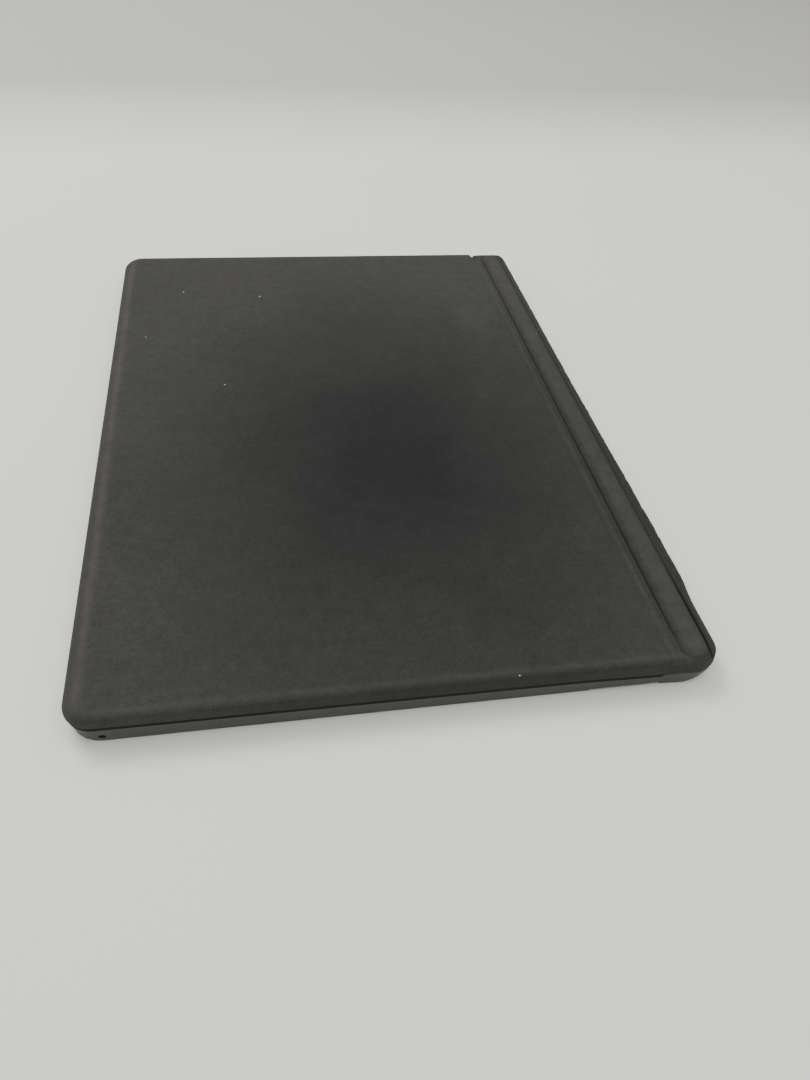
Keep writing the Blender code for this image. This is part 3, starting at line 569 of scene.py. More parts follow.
def light_pipe():
    s = Surface("light_pipe")
    haze = s.noise(0.4 * MM, 2.0)
    return s.finish(s.shaded((0.80, 0.80, 0.78), haze, 0.95, 1.03), s.mapped(haze, 0.3, 0.7, 0.16, 0.26))


def trackpad_face():
    """Coated pad: a very fine tooth, and faint finger polish in its middle."""
    s = Surface("trackpad_face")
    tooth = s.noise(0.16 * MM, 2.0, 0.6)
    polish = s.noise(22 * MM, 4.0, 0.6)
    colour = s.shaded(s.shaded((0.036, 0.036, 0.038), polish, 0.90, 1.14), tooth, 0.92, 1.08)
    s.bumped([(tooth, 0.006 * MM)])
    return s.finish(colour, s.mapped(polish, 0.35, 0.70, 0.40, 0.28))


def make_materials():
    """One material for each of the record's slots."""
    return {
        "microfibre": microfibre(),
        "shell_plastic": shell_plastic(),
        "lining_felt": lining_felt(),
        "steel": metal("steel", (0.55, 0.55, 0.56), 0.28, 0.004 * MM),
        "rubber": moulded("rubber", (0.020, 0.020, 0.020), 0.82, 0.35 * MM, 0.03 * MM),
        "deck_plastic": moulded("deck_plastic", (0.040, 0.040, 0.041), 0.62, 0.24 * MM, 0.018 * MM),
        "contact_gold": metal("contact_gold", (0.80, 0.56, 0.20), 0.22, 0.002 * MM),
        "magnet": metal("magnet", (0.60, 0.60, 0.58), 0.20, 0.002 * MM),
        "clamp_metal": metal("clamp_metal", (0.10, 0.10, 0.103), 0.36, 0.004 * MM),
        "polyester_film": polyester_film(),
        "fibre_sheet": fibre_sheet(),
        "silicone": silicone(),
        "circuit_board": circuit_board(),
        "light_pipe": light_pipe(),
        "trackpad_face": trackpad_face(),
        "keycap_plastic": moulded("keycap_plastic", (0.024, 0.024, 0.025), 0.46, 0.20 * MM, 0.010 * MM),
    }


MATERIALS = make_materials()


def dress(piece, slot_name):
    piece.data.materials.clear()
    piece.data.materials.append(MATERIALS[slot_name])


# -------- cover: shape of its top

def round_inset(height):
    """How far the rounded spine edge stands back from its widest line at a height."""
    return SPINE_ROUND - math.sqrt(max(SPINE_ROUND**2 - (height - SPINE_ROUND) ** 2, 0.0))


COVER_END_X = HALF_X - round_inset(SPINE_SHOULDER_END_Z)


def spine_corner(y):
    """The cover's corner radius at the spine, which is tighter on the far side."""
    return SPINE_CORNER if y < 0 else SPINE_FAR_CORNER


def corner_place(x, y):
    """The end's X and direction, its corner radius, and how far a point lies past the corner's centre."""
    if x > 0:
        end, toward, radius = COVER_END_X, 1, spine_corner(y)
    else:
        end, toward, radius = -HALF_X, -1, FREE_CORNER
    return end, toward, radius, radius - abs(end - x), radius - (HALF_Y - abs(y))


def edge_place(x, y):
    """Distance inside the outline, the outward direction, and how much that edge is an end, not a side."""
    end, toward, radius, across, along = corner_place(x, y)
    sideways = 1 if y > 0 else -1
    if across > 0 and along > 0:
        reach = math.hypot(across, along)
        direction = (toward * across / reach, sideways * along / reach)
        return max(radius - reach, 0.0), direction, (across / reach) ** 2
    if abs(end - x) < HALF_Y - abs(y):
        return max(abs(end - x), 0.0), (toward, 0.0), 1.0
    return max(HALF_Y - abs(y), 0.0), (0.0, sideways), 0.0


def on_plan(x, y):
    """Moves a point of the square grid onto the plan with its rounded corners."""
    end, toward, radius, across, along = corner_place(x, y)
    if across <= 0 or along <= 0:
        return x, y
    a, b = across / radius, along / radius
    sideways = 1 if y > 0 else -1
    plan_x = end - toward * radius * (1 - a * math.sqrt(1 - b * b / 2))
    plan_y = sideways * (HALF_Y - radius * (1 - b * math.sqrt(1 - a * a / 2)))
    return plan_x, plan_y


def ellipse_drop(inside, width, depth):
    share = max(1 - inside / width, 0.0)
    return depth * (1 - math.sqrt(max(1 - share * share, 0.0)))


def spine_drop(inside):
    past = max(COVER_END_X - inside - (HALF_X - SPINE_ROUND), 0.0)
    return SPINE_ROUND - math.sqrt(SPINE_ROUND**2 - past**2)


def shoulder_drop(x, inside, end_share):
    side = ellipse_drop(inside, *SIDE_SHOULDER)
    end = spine_drop(inside) if x > 0 else ellipse_drop(inside, *FREE_SHOULDER)
    return side + (end - side) * end_share


def pad_inside(x, y):
    """Distance inside the strip's pad, a long rectangle with rounded ends."""
    middle_x, middle_y = sum(PAD_X) / 2, sum(PAD_Y) / 2
    over_x = abs(x - middle_x) - (PAD_X[1] - PAD_X[0]) / 2 + PAD_CORNER
    over_y = abs(y - middle_y) - (PAD_Y[1] - PAD_Y[0]) / 2 + PAD_CORNER
    outside = math.hypot(max(over_x, 0.0), max(over_y, 0.0)) + min(max(over_x, over_y), 0.0)
    return PAD_CORNER - outside


def crease_strength(y):
    """The crease is sharp near the near corner and softer beyond it."""
    return 0.22 + 0.66 * (1 - smooth(y, *FRAY_FROM_Y)) + 0.16 * ripple(0.0, y, 9 * MM, 4.0)


def fold_relief(x, y):
    """Height of the groove, the strip's pad and the crease over the plain top."""
    off = x - GROOVE_X + GROOVE_FAR_SHIFT * smooth(y, GROOVE_SHIFT_FROM_Y, HALF_Y)
    groove = smooth(off, -GROOVE_RIM, -GROOVE_FLOOR) - smooth(off, GROOVE_FLOOR, GROOVE_RIM)
    seams = sum(bell(off, seam_at, GROOVE_SEAM_WIDTH) for seam_at in (-GROOVE_SEAM_AT, GROOVE_SEAM_AT))
    soft_end = 0.15 + 0.85 * smooth(HALF_Y + y, *GROOVE_SOFT_END)
    depth = GROOVE_DEPTH + GROOVE_FAR_DEPTH * smooth(y, *GROOVE_DEEPER_Y)
    height = -(depth * groove + GROOVE_SEAM * seams) * soft_end
    wander = SECOND_CREASE_WANDER * ripple(0.0, y, 30 * MM, 2.0)
    height -= SECOND_CREASE * bell(off, -SECOND_CREASE_AT + wander, SECOND_CREASE_WIDTH)
    height -= STRIP_LEVEL * smooth(off, -0.5 * MM, 1.5 * MM)
    height += PAD_RISE * smooth(pad_inside(x, y), 0.0, PAD_SOFT)
    height -= CREASE_DEPTH * crease_strength(y) * bell(x, CREASE_LINE_X, CREASE_WIDTH)
    height += EDGE_BAND_RISE * smooth(x, CREASE_LINE_X + 0.2 * MM, CREASE_LINE_X + 1.0 * MM)
    return height


def fray(x, y):
    """Rough bumps of the cut band on the spine edge."""
    where = smooth(x, CREASE_LINE_X + 0.3 * MM, CREASE_LINE_X + 1.6 * MM)
    if where == 0.0:
        return 0.0
    where *= 0.30 + 0.70 * smooth(y, *FRAY_FROM_Y)
    rough = 0.55 * ripple(x, y, 1.5 * MM, 7.0) + 0.75 * ripple(x, y, 4.2 * MM, 8.0)
    swell = smooth(y, *BAND_SWELL_FROM_Y) * (1 - 0.85 * smooth(y, *BAND_SWELL_TO_Y))
    outward = smooth(x, CREASE_LINE_X + 0.3 * MM, COVER_END_X)
    return FRAY * where * rough + BAND_SWELL * swell * outward


def top_point(x, y):
    """A point of the cover's top over a place on its plan."""
    inside, (out_x, out_y), end_share = edge_place(x, y)
    height = TOP - shoulder_drop(x, inside, end_share)
    if x < GROOVE_X:
        height -= BOARD_STEP * (1 - smooth(inside, *BOARD_EDGE_IN))
    height += fold_relief(x, y) * (0.6 + 0.4 * smooth(inside, 0.0, 1.6 * MM))
    height += SWELL * ripple(x, y, SWELL_SIZE, 1.0) * smooth(inside, 2 * MM, 12 * MM)
    rough = fray(x, y)
    return Vector((x + out_x * rough, y + out_y * rough, height + 0.8 * rough))


def hem_height(x, end_share):
    """The hem hangs over the tray's rim, rises past the fold lines, and drops again on the glued band."""
    share = min((x + HALF_X) / (HEM_SLAB_FALL_X[1] + HALF_X), 1.0)
    slab = HEM_FREE_Z + (HEM_SLAB_END_Z - HEM_FREE_Z) * share - HEM_SLAB_FALL * smooth(x, *HEM_SLAB_FALL_X)
    if x > HEM_BAND_FROM_X:
        return HEM_BAND_Z + (HEM_SPINE_Z - HEM_BAND_Z) * end_share**2
    return slab + (HEM_STRIP_Z - slab) * smooth(x, *HEM_RISE_X)


def round_bulge(x, height, end_share):
    """How far the rounded spine edge swells past the end of the cover's shoulder at a height."""
    if x < GROOVE_X:
        return 0.0
    return end_share * (round_inset(SPINE_SHOULDER_END_Z) - round_inset(min(height, SPINE_SHOULDER_END_Z)))


def hem_points(x, y, start):
    """The cover's side from the end of its shoulder down, round its hem, down its lip and back inside."""
    _, (out_x, out_y), end_share = edge_place(x, y)
    hem = min(hem_height(x, end_share), start.z - HEM_LEAST_DROP)
    lip = HEM_LIP * (1 - smooth(x, HEM_RISE_X[0] - 0.3 * MM, HEM_RISE_X[0]))
    turn = HEM_STRIP_TURN if HEM_RISE_X[1] < x <= HEM_BAND_FROM_X else HEM_TURN
    turn = min(turn, start.z - hem)
    run = start.z - hem - turn
    rough = WALL_RIPPLE + FRAY * smooth(x, HEM_BAND_FROM_X, COVER_END_X)
    profile = []
    for step in range(1, WALL_STEPS + 1):
        share = step / WALL_STEPS
        height = start.z - run * share
        wave = rough * ripple(x + y, height, 6 * MM, 3.0) * math.sin(math.pi * share)
        profile.append((wave, height))
    for step in range(1, TURN_STEPS + 1):
        angle = math.pi / 2 * step / TURN_STEPS
        profile.append((-turn * (1 - math.cos(angle)), hem + turn * (1 - math.sin(angle))))
    profile += [(-HEM_LIP_IN, hem), (-HEM_LIP_IN, hem - lip)]
    profile += [(-HEM_RETURN, hem - lip), (-HEM_RETURN, hem + HEM_TUCK)]
    points = []
    for out, height in profile:
        out += round_bulge(x, height, end_share)
        points.append(Vector((start.x + out_x * out, start.y + out_y * out, height)))
    return points


# -------- cover: wear and dirt

def wear_and_highlight_at(x, y):
    """Where handling has made the nap pale, and on the shoulders a painted highlight too: the shoulders, the
    groove's rims and the pad.
    """
    inside, _, end_share = edge_place(x, y)
    # These shoulder bands are partly a painted highlight.
    if x < 0:
        band = FREE_EDGE_WEAR_AND_HIGHLIGHT * bell(inside, 4.4 * MM, 1.5 * MM) * end_share
    else:
        band = 0.0
    side = NEAR_SIDE_WEAR_AND_HIGHLIGHT if y < 0 else FAR_SIDE_WEAR_AND_HIGHLIGHT
    band += side * bell(inside, 2.6 * MM, 1.3 * MM) * (1 - end_share)
    rims = RIM_WEAR * bell(x, GROOVE_X - 2.9 * MM, 0.8 * MM)
    pad = PAD_WEAR * smooth(pad_inside(x, y), 0.8 * MM, 3.2 * MM)
    from_smudge = math.hypot((x - SMUDGE_AT[0]) / SMUDGE_SPAN[0], (y - SMUDGE_AT[1]) / SMUDGE_SPAN[1])
    return min(band + rims + pad + SMUDGE_WEAR * bell(from_smudge, 0.0, 1.0 * MM), 1.0)


def dirt_and_shade_at(x, y):
    """Where folds are dark, from dirt and painted shade: the groove's seams and the crease; painted shade on the
    rough band and round the pad.
    """
    off = x - GROOVE_X
    seams = SLAB_SEAM_DIRT_AND_SHADE * bell(off, -GROOVE_SEAM_AT, 0.35 * MM)
    seams += STRIP_SEAM_DIRT_AND_SHADE * bell(off, GROOVE_SEAM_AT, 0.40 * MM)
    seams *= 0.15 + 0.85 * smooth(HALF_Y + y, 5 * MM, 17 * MM)
    seams *= 0.85 - 0.45 * smooth(y, 0.0, HALF_Y) + 0.35 * ripple(0.0, y, 21 * MM, 10.0)
    second = SECOND_CREASE_DIRT_AND_SHADE * bell(off, -SECOND_CREASE_AT, 0.9 * MM)
    crease = CREASE_DIRT_AND_SHADE * crease_strength(y) * bell(x, CREASE_LINE_X, 0.5 * MM)
    band = BAND_PAINTED_SHADE * smooth(x, CREASE_LINE_X + 0.4 * MM, CREASE_LINE_X + 1.4 * MM)
    ring = 0.0
    if x > GROOVE_X:
        ring = PAD_RING_PAINTED_SHADE * bell(pad_inside(x, y), -0.1 * MM, 0.7 * MM)
    return min(seams + second + crease + band + ring, MOST_DIRT_AND_SHADE)


# -------- cover: mesh

def side_lines(step):
    """Y of the grid's lines: crowded at both short sides, finer at the pad's ends, even between."""
    inset = crowded(EDGE_REACH, EDGE_LINES, EDGE_CROWD)
    inner = EDGE_REACH + 8 * MM
    lines = [-HALF_Y + reach for reach in inset]
    lines += spread(-HALF_Y + EDGE_REACH, -HALF_Y + inner, END_STEP)
    lines += spread(-HALF_Y + inner, HALF_Y - inner, step)
    lines += spread(HALF_Y - inner, HALF_Y - EDGE_REACH, END_STEP)
    lines += [HALF_Y - reach for reach in reversed(inset + [EDGE_REACH])]
    return lines


def edge_path(x_lines, y_lines, end):
    """Grid X, grid Y and point index along a short side, the given end and the other short side."""
    rows = len(y_lines)
    order = range(len(x_lines)) if end == -1 else range(len(x_lines) - 1, -1, -1)
    near = [(x_lines[i], y_lines[0], i * rows) for i in order]
    far = [(x_lines[i], y_lines[-1], i * rows + rows - 1) for i in order]
    end_column = (len(x_lines) - 1 if end == -1 else 0) * rows
    between = [(x_lines[end], y_lines[j], end_column + j) for j in range(1, rows - 1)]
    return near + between + far[::-1]


def cover_mesh(name, x_lines, y_lines, end):
    """A cover piece: its top, and its side and hem along the short sides and the given end, 0 or -1."""
    points, faces, wear_and_highlight, dirt_and_shade = [], [], [], []
    rows = len(y_lines)
    for grid_x in x_lines:
        for grid_y in y_lines:
            x, y = on_plan(grid_x, grid_y)
            points.append(top_point(x, y))
            wear_and_highlight.append(wear_and_highlight_at(x, y))
            dirt_and_shade.append(dirt_and_shade_at(x, y))
    for i in range(len(x_lines) - 1):
        for j in range(rows - 1):
            corner = i * rows + j
            faces.append((corner, corner + rows, corner + rows + 1, corner + 1))
    previous = None
    for grid_x, grid_y, index in edge_path(x_lines, y_lines, end):
        x, y = on_plan(grid_x, grid_y)
        column = [index]
        for point in hem_points(x, y, points[index]):
            column.append(len(points))
            points.append(point)
            wear_and_highlight.append(0.0)
            # The side takes most of the top's dirt and painted shade.
            dirt_and_shade.append(dirt_and_shade[index] * SIDE_DIRT_AND_SHADE_SHARE)
        # The lip is painted fully dark, as the shadow under the hem.
        dirt_and_shade[-LIP_POINTS:] = [LIP_PAINTED_SHADOW] * LIP_POINTS
        if previous:
            for high in range(len(column) - 1):
                quad = (previous[high], previous[high + 1], column[high + 1], column[high])
                faces.append(quad if end == -1 else quad[::-1])
        previous = column
    return fabric_mesh(name, points, faces, wear_and_highlight, dirt_and_shade)


def add_cover_slab():
    """The cover over the keyboard slab, the groove and half the strip."""
    x_lines = [-HALF_X + reach for reach in crowded(EDGE_REACH, EDGE_LINES, EDGE_CROWD)]
    fine_from = GROOVE_X - 5.5 * MM
    x_lines += spread(-HALF_X + EDGE_REACH, fine_from, PLAIN_STEP)
    x_lines += spread(fine_from, STRIP_MIDDLE_X, FOLD_STEP) + [STRIP_MIDDLE_X]
    piece = add_object("cover_slab", cover_mesh("cover_slab", x_lines, side_lines(PLAIN_STEP), 0))
    dress(piece, "microfibre")
    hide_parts("outer_skin", "strip_skin")
    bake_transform(piece)


def add_cover_spine():
    """The cover over half the strip, the crease and the rounded spine edge."""
    fine_to = CREASE_X + 1.4 * MM
    x_lines = spread(STRIP_MIDDLE_X, fine_to, SPINE_FOLD_STEP) + [fine_to]
    inset = crowded(COVER_END_X - fine_to, BAND_LINES, BAND_CROWD)
    x_lines += [COVER_END_X - reach for reach in reversed(inset)]
    piece = add_object("cover_spine", cover_mesh("cover_spine", x_lines, side_lines(FRAY_STEP), -1))
    dress(piece, "microfibre")
    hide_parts("edge_skin")
    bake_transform(piece)


# -------- inner face of the cover

INNER_Z = 10.38 * MM
INNER_DECK_Z = 8.35 * MM
INNER_RIPPLE = 0.03 * MM
INNER_STEP = 0.4 * MM
INNER_FOLD_DIRT_AND_SHADE = 0.30
INNER_HALF_Y = HALF_Y - 0.95 * MM
INNER_SPLIT_X = STRIP_BOX[0].x + 0.6 * MM
INNER_END_X = EDGE_BAND_X + 1.1 * MM
INNER_THICK = 0.18 * MM
INNER_CORNER_IN = 1.3 * MM


def inner_height(x):
    """The inner face climbs from the deck's end to the underside of the fold lines."""
    start = DECK_BOX[1].x
    return INNER_DECK_Z + (INNER_Z - INNER_DECK_Z) * smooth(x, start - 0.8 * MM, start + 1.6 * MM)


def inner_end_y(x, side):
    """The inner face's Y at one end: it keeps inside the cover's rounded corners."""
    radius = spine_corner(side)
    past = max(x - (COVER_END_X - radius), 0.0)
    rounded = math.sqrt((radius - INNER_CORNER_IN) ** 2 - past**2)
    return side * min(INNER_HALF_Y, HALF_Y - radius + rounded)


def inner_mesh(name, x_lines):
    y_lines = spread(-INNER_HALF_Y, INNER_HALF_Y, PLAIN_STEP) + [INNER_HALF_Y]
    points, dirt_and_shade = [], []
    for x in x_lines:
        # Dirt and painted shade along the groove and the crease.
        fold = bell(x, GROOVE_X, 1.2 * MM) + bell(x, CREASE_X, 0.8 * MM)
        for line_y in y_lines:
            y = min(max(line_y, inner_end_y(x, -1)), inner_end_y(x, 1))
            points.append((x, y, inner_height(x) + INNER_RIPPLE * ripple(x, y, 12 * MM, 5.0)))
            dirt_and_shade.append(INNER_FOLD_DIRT_AND_SHADE * fold)
    faces = grid_faces(len(x_lines), len(y_lines))
    return fabric_mesh(name, points, faces, [0.0] * len(points), dirt_and_shade)


def add_inner(name, x_range):
    """One length of the inner face, across one fold line."""
    x_lines = spread(*x_range, INNER_STEP) + [x_range[1]]
    piece = add_object(name, inner_mesh(name, x_lines))
    thicken(piece, INNER_THICK)
    dress(piece, "microfibre")
    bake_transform(piece)


def add_inner_face():
    slab_x = (DECK_BOX[1].x + 0.05 * MM, INNER_SPLIT_X)
    add_inner("inner_face_slab", slab_x)
    spine_x = (INNER_SPLIT_X, INNER_END_X)
    add_inner("inner_face_spine", spine_x)


# -------- spine

SPINE_CORNER_OUT = 0.4 * MM
# The side's inset at each height, both in millimetres: where it meets the tray, and at the rounded end.
SIDE_AT_TRAY = ((0.0, 1.38), (0.25, 1.03), (0.7, 0.83), (2.6, 0.78), (10.0, 0.78))
SIDE_AT_END = (
    (0.0, 0.95), (0.25, 0.62), (0.7, 0.38), (2.0, 0.20), (5.4, 0.15), (5.5, 0.78), (10.0, 0.78),
)
# Heights of the spine's rings, in millimetres.
SPINE_LEVELS = (
    0.0, 0.12, 0.25, 0.45, 0.7, 1.2, 2.0, 2.6, 3.4, 4.4, 5.1, 5.4, 5.5, 6.1, 6.2, 7.2, 8.2, 9.0, 9.7,
)
SPINE_LEDGE_Z = 6.15 * MM
SPINE_LEDGE = 0.6 * MM
SPINE_FRONT_X = SPINE_BOX[0].x - 0.5 * MM


def side_inset(profile, level):
    """How far the hard body's side stands back at a height in millimetres."""
    for (low, inset), (high, above) in zip(profile, profile[1:]):
        if level <= high:
            return (inset + (above - inset) * (level - low) / (high - low)) * MM
    return profile[-1][1] * MM


def spine_ring(level, extra=0.0):
    height = level * MM
    at_tray = HALF_Y - side_inset(SIDE_AT_TRAY, level) - extra
    inset = side_inset(SIDE_AT_END, level) + extra
    ledge = SPINE_LEDGE if height > SPINE_LEDGE_Z else 0.0
    end = HALF_X - round_inset(height) - ledge - extra
    near = SPINE_CORNER + SPINE_CORNER_OUT - inset
    far = SPINE_FAR_CORNER + SPINE_CORNER_OUT - inset
    y_range = (-HALF_Y + inset, HALF_Y - inset)
    outline = rounded_outline((SPINE_FRONT_X, end), y_range, (0.1 * MM, near, far, 0.1 * MM), 12)
    ring = []
    for x, y in outline:
        if x < SPINE_FRONT_X + 1 * MM:
            y = math.copysign(at_tray, y)
        ring.append((x, y, height))
    return ring


def add_spine():
    """The solid spine with its full round along the long edge, let in under the cover's band."""
    points, faces = [], []
    rings = [spine_ring(level) for level in SPINE_LEVELS]
    top = SPINE_BOX[1].z / MM
    rings += [spine_ring(top - 0.08, 0.12 * MM), spine_ring(top, 0.4 * MM)]
    loft(points, faces, rings)
    piece = add_object("spine_body", mesh_from("spine_body", points, faces))
    piece.data.set_sharp_from_angle(angle=math.radians(50))
    dress(piece, "shell_plastic")
    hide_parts("spine_block")
    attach(piece, "case")


# -------- fabric glued round the spine's ends

WRAP_X = (SPINE_BOX[0].x - 0.75 * MM, HEM_BAND_FROM_X + 0.1 * MM)
WRAP_CLEAR = 0.05 * MM
WRAP_TOP_Z = 10.05 * MM
WRAP_TURN_IN = 6.0 * MM
# The wrap's section: inset from the cover's side and drop from its own top, in millimetres.
WRAP_SHOULDER = ((1.9, 0.0), (0.6, 0.0), (0.25, 0.02), (0.10, 0.07), (0.04, 0.16), (0.03, 0.30))
WRAP_SHOULDER_END_Z = WRAP_TOP_Z - 0.31 * MM
WRAP_WALL_STEPS = 5
WRAP_STEP = 0.6 * MM
WRAP_RIPPLE = 0.03 * MM
WRAP_SOIL = 0.10


def wrap_place(x, inset, height, side):
    """A point of the wrap at an inset from the cover's outline, which turns the plan's corner."""
    corner = spine_corner(side)
    past = max(x - (COVER_END_X - corner), 0.0)
    end_share = (past / corner) ** 2
    rounded = math.sqrt(max((corner - inset) ** 2 - past**2, 0.0))
    return x, side * (HALF_Y - corner + rounded + round_bulge(x, height, end_share)), height


def wrap_section():
    section = [(WRAP_TURN_IN, WRAP_TOP_Z), (WRAP_TURN_IN / 2, WRAP_TOP_Z)]
    section += [(inset * MM, WRAP_TOP_Z - drop * MM) for inset, drop in WRAP_SHOULDER]
    last_in, last_z = section[-1]
    for step in range(1, WRAP_WALL_STEPS + 1):
        section.append((last_in, last_z + (HEM_BAND_Z + 0.2 * MM - last_z) * step / WRAP_WALL_STEPS))
    return section + [(last_in + 0.10 * MM, HEM_BAND_Z + 0.05 * MM), (last_in + 0.35 * MM, HEM_BAND_Z)]


def add_wrap(name, side):
    """Fabric turned down over one end of the spine, from under the strip to the parting line."""
    points = []
    section = wrap_section()
    x_lines = spread(*WRAP_X, WRAP_STEP) + [WRAP_X[1]]
    for x in x_lines:
        edge = wrap_place(x, 0.0, WRAP_TOP_Z, side)
        cover_edge = top_point(edge[0], edge[1]).z - HEM_LEAST_DROP - WRAP_CLEAR
        highest = min(WRAP_TOP_Z, cover_edge)
        for inset, height in section:
            if height > WRAP_SHOULDER_END_Z:
                height -= WRAP_TOP_Z - highest
            wave = WRAP_RIPPLE * ripple(x, height, 5 * MM, 9.0)
            points.append(wrap_place(x, inset - wave, height, side))
    faces = grid_faces(len(x_lines), len(section))
    if side < 0:
        faces = [quad[::-1] for quad in faces]
    count = len(points)
    piece = add_object(name, fabric_mesh(name, points, faces, [0.0] * count, [WRAP_SOIL] * count))
    dress(piece, "microfibre")
    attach(piece, "case")


# -------- tray lining

WINDOW_CENTRE = (-86 * MM, 116 * MM)
WINDOW_HALF = (6.0 * MM, 15.0 * MM)
WINDOW_CLEAR = 0.3 * MM
WINDOW_REACH = 20 * MM
WINDOW_FINE_HALF = (8 * MM, 17 * MM)
LINING_STEP = 3.0 * MM
LINING_FINE = 1.0 * MM
LINING_CORNER = 6.7 * MM
LINING_RIPPLE = 0.04 * MM


def window_edge(x, y):
    """The point of the camera window's outline nearest to a point, and if that point is inside it."""
    radius = WINDOW_HALF[0] + WINDOW_CLEAR
    reach = WINDOW_HALF[1] - WINDOW_HALF[0]
    centre = Vector((WINDOW_CENTRE[0], min(max(y, WINDOW_CENTRE[1] - reach), WINDOW_CENTRE[1] + reach)))
    away = Vector((x, y)) - centre
    return centre + away.normalized() * radius, away.length < radius


def lining_lines(low, high, centre, fine_half):
    """Grid lines with finer spacing over the camera window."""
    fine_low, fine_high = centre - fine_half, centre + fine_half
    lines = spread(low, fine_low, LINING_STEP) + spread(fine_low, fine_high, LINING_FINE)
    return lines + spread(fine_high, high, LINING_STEP) + [high]


def add_lining():
    """The brushed lining on the tray's floor, cut out round the camera window."""
    low, high = LINING_BOX
    x_lines = lining_lines(low.x, high.x, WINDOW_CENTRE[0], WINDOW_FINE_HALF[0])
    y_lines = lining_lines(low.y, high.y, WINDOW_CENTRE[1], WINDOW_FINE_HALF[1])
    mesh = bmesh.new()
    grid = []
    for x in x_lines:
        column = []
        for y in y_lines:
            over = Vector((max(low.x + LINING_CORNER - x, 0.0), max(abs(y) - high.y + LINING_CORNER, 0.0)))
            if over.x > 0 and over.y > 0 and over.length > LINING_CORNER:
                kept = over.normalized() * LINING_CORNER
                x_at = low.x + LINING_CORNER - kept.x
                y_at = math.copysign(high.y - LINING_CORNER + kept.y, y)
            else:
                x_at, y_at = x, y
            height = high.z - LINING_RIPPLE / 2 + LINING_RIPPLE * ripple(x_at, y_at, 14 * MM, 6.0)
            column.append(mesh.verts.new((x_at, y_at, height)))
        grid.append(column)
    for left, right in zip(grid, grid[1:]):
        for j in range(len(left) - 1):
            mesh.faces.new((left[j], right[j], right[j + 1], left[j + 1]))
    inside = [face for face in mesh.faces if window_edge(*face.calc_center_median().xy)[1]]
    bmesh.ops.delete(mesh, geom=inside, context="FACES")
    for vert in mesh.verts:
        if vert.is_boundary and (vert.co.xy - Vector(WINDOW_CENTRE)).length < WINDOW_REACH:
            vert.co.xy = window_edge(*vert.co.xy)[0]
    bmesh.ops.remove_doubles(mesh, verts=mesh.verts, dist=0.02 * MM)
    data = bpy.data.meshes.new("lining_felt_sheet")
    mesh.to_mesh(data)
    mesh.free()
    for polygon in data.polygons:
        polygon.use_smooth = True
    piece = add_object("lining_sheet", data)
    thicken(piece, high.z - low.z)
    dress(piece, "lining_felt")
    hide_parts("tray_lining")
    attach(piece, "case")


# -------- keys

ROW_COUNTS = {
    "keys_function_row": 14,
    "keys_number_row": 13,
    "keys_top_letter_row": 13,
    "keys_home_letter_row": 11,
    "keys_bottom_letter_row": 10,
}
KEY_GAP = 2.6 * MM
CAP_CORNER = 2.2 * MM
CAP_STEPS = 5
CAP_DISH = 0.16 * MM
# Each ring of a cap: how far it is drawn in, and its height over the cap's face, in millimetres.
CAP_RINGS = ((0.0, 0.70), (0.0, 0.50), (0.06, 0.30), (0.20, 0.12), (0.45, 0.03), (0.80, 0.0))
DISH_RINGS = (0.18, 0.36, 0.55, 0.76)
HOME_BUMP_KEYS = (3, 6)
BUMP_HALF = (0.28, 1.9)
BUMP_ROUND = 0.27 * MM
BUMP_STEPS = 4
BUMP_SHIFT = 0.55
# Each ring of a bump: its share of the full size, and its height over the cap's face, in millimetres.
BUMP_RINGS = ((1.0, 0.16), (0.9, 0.02), (0.6, -0.06))


def cap_places(node):
    """Centre and half size of each cap in a key node."""
    low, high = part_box(node)
    count = ROW_COUNTS.get(node, 1)
    pitch = (high.y - low.y + KEY_GAP) / count
    half = Vector(((high.x - low.x) / 2, (pitch - KEY_GAP) / 2))
    middle_x = (low.x + high.x) / 2
    return [(Vector((middle_x, low.y + half.y + pitch * index)), half) for index in range(count)]


def add_cap(points, faces, centre, half, face_z):
    """One keycap, face down: rounded shoulders round a shallow dish."""
    rings = []
    for inset, above in CAP_RINGS:
        size = half - Vector((inset, inset)) * MM
        radius = CAP_CORNER - inset * MM * 0.6
        rings.append(level_ring(*centre, size, radius, CAP_STEPS, face_z + above * MM))
    face_half = half - Vector((CAP_RINGS[-1][0],) * 2) * MM
    for share in DISH_RINGS:
        size = face_half * (1 - share)
        radius = min(CAP_CORNER, size.x * 0.98, size.y * 0.98)
        height = face_z + CAP_DISH * (1 - (1 - share) ** 2)
        rings.append(level_ring(*centre, size, radius, CAP_STEPS, height))
    loft(points, faces, rings)


def add_bump(points, faces, centre, half, face_z):
    """The small ridge that a finger feels on a home key."""
    rings = []
    for share, above in BUMP_RINGS:
        size = Vector(BUMP_HALF) * MM * share
        x = centre.x - half.x * BUMP_SHIFT
        rings.append(level_ring(x, centre.y, size, BUMP_ROUND * share, BUMP_STEPS, face_z + above * MM))
    loft(points, faces, rings)


def add_keys():
    for body, members in frame["record"]["behaviour"]["bodies"].items():
        for node in members:
            if SLOT_OF[node] != "keycap_plastic":
                continue
            points, faces = [], []
            face_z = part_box(node)[0].z
            for index, (centre, half) in enumerate(cap_places(node)):
                add_cap(points, faces, centre, half, face_z)
                if node == "keys_home_letter_row" and index in HOME_BUMP_KEYS:
                    add_bump(points, faces, centre, half, face_z)
            piece = add_object(f"{node}_caps_look", mesh_from(node, points, faces))
            piece.data.set_sharp_from_angle(angle=math.radians(60))
            dress(piece, "keycap_plastic")
            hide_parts(node)
            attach(piece, body)


# -------- carried-over CAD nodes

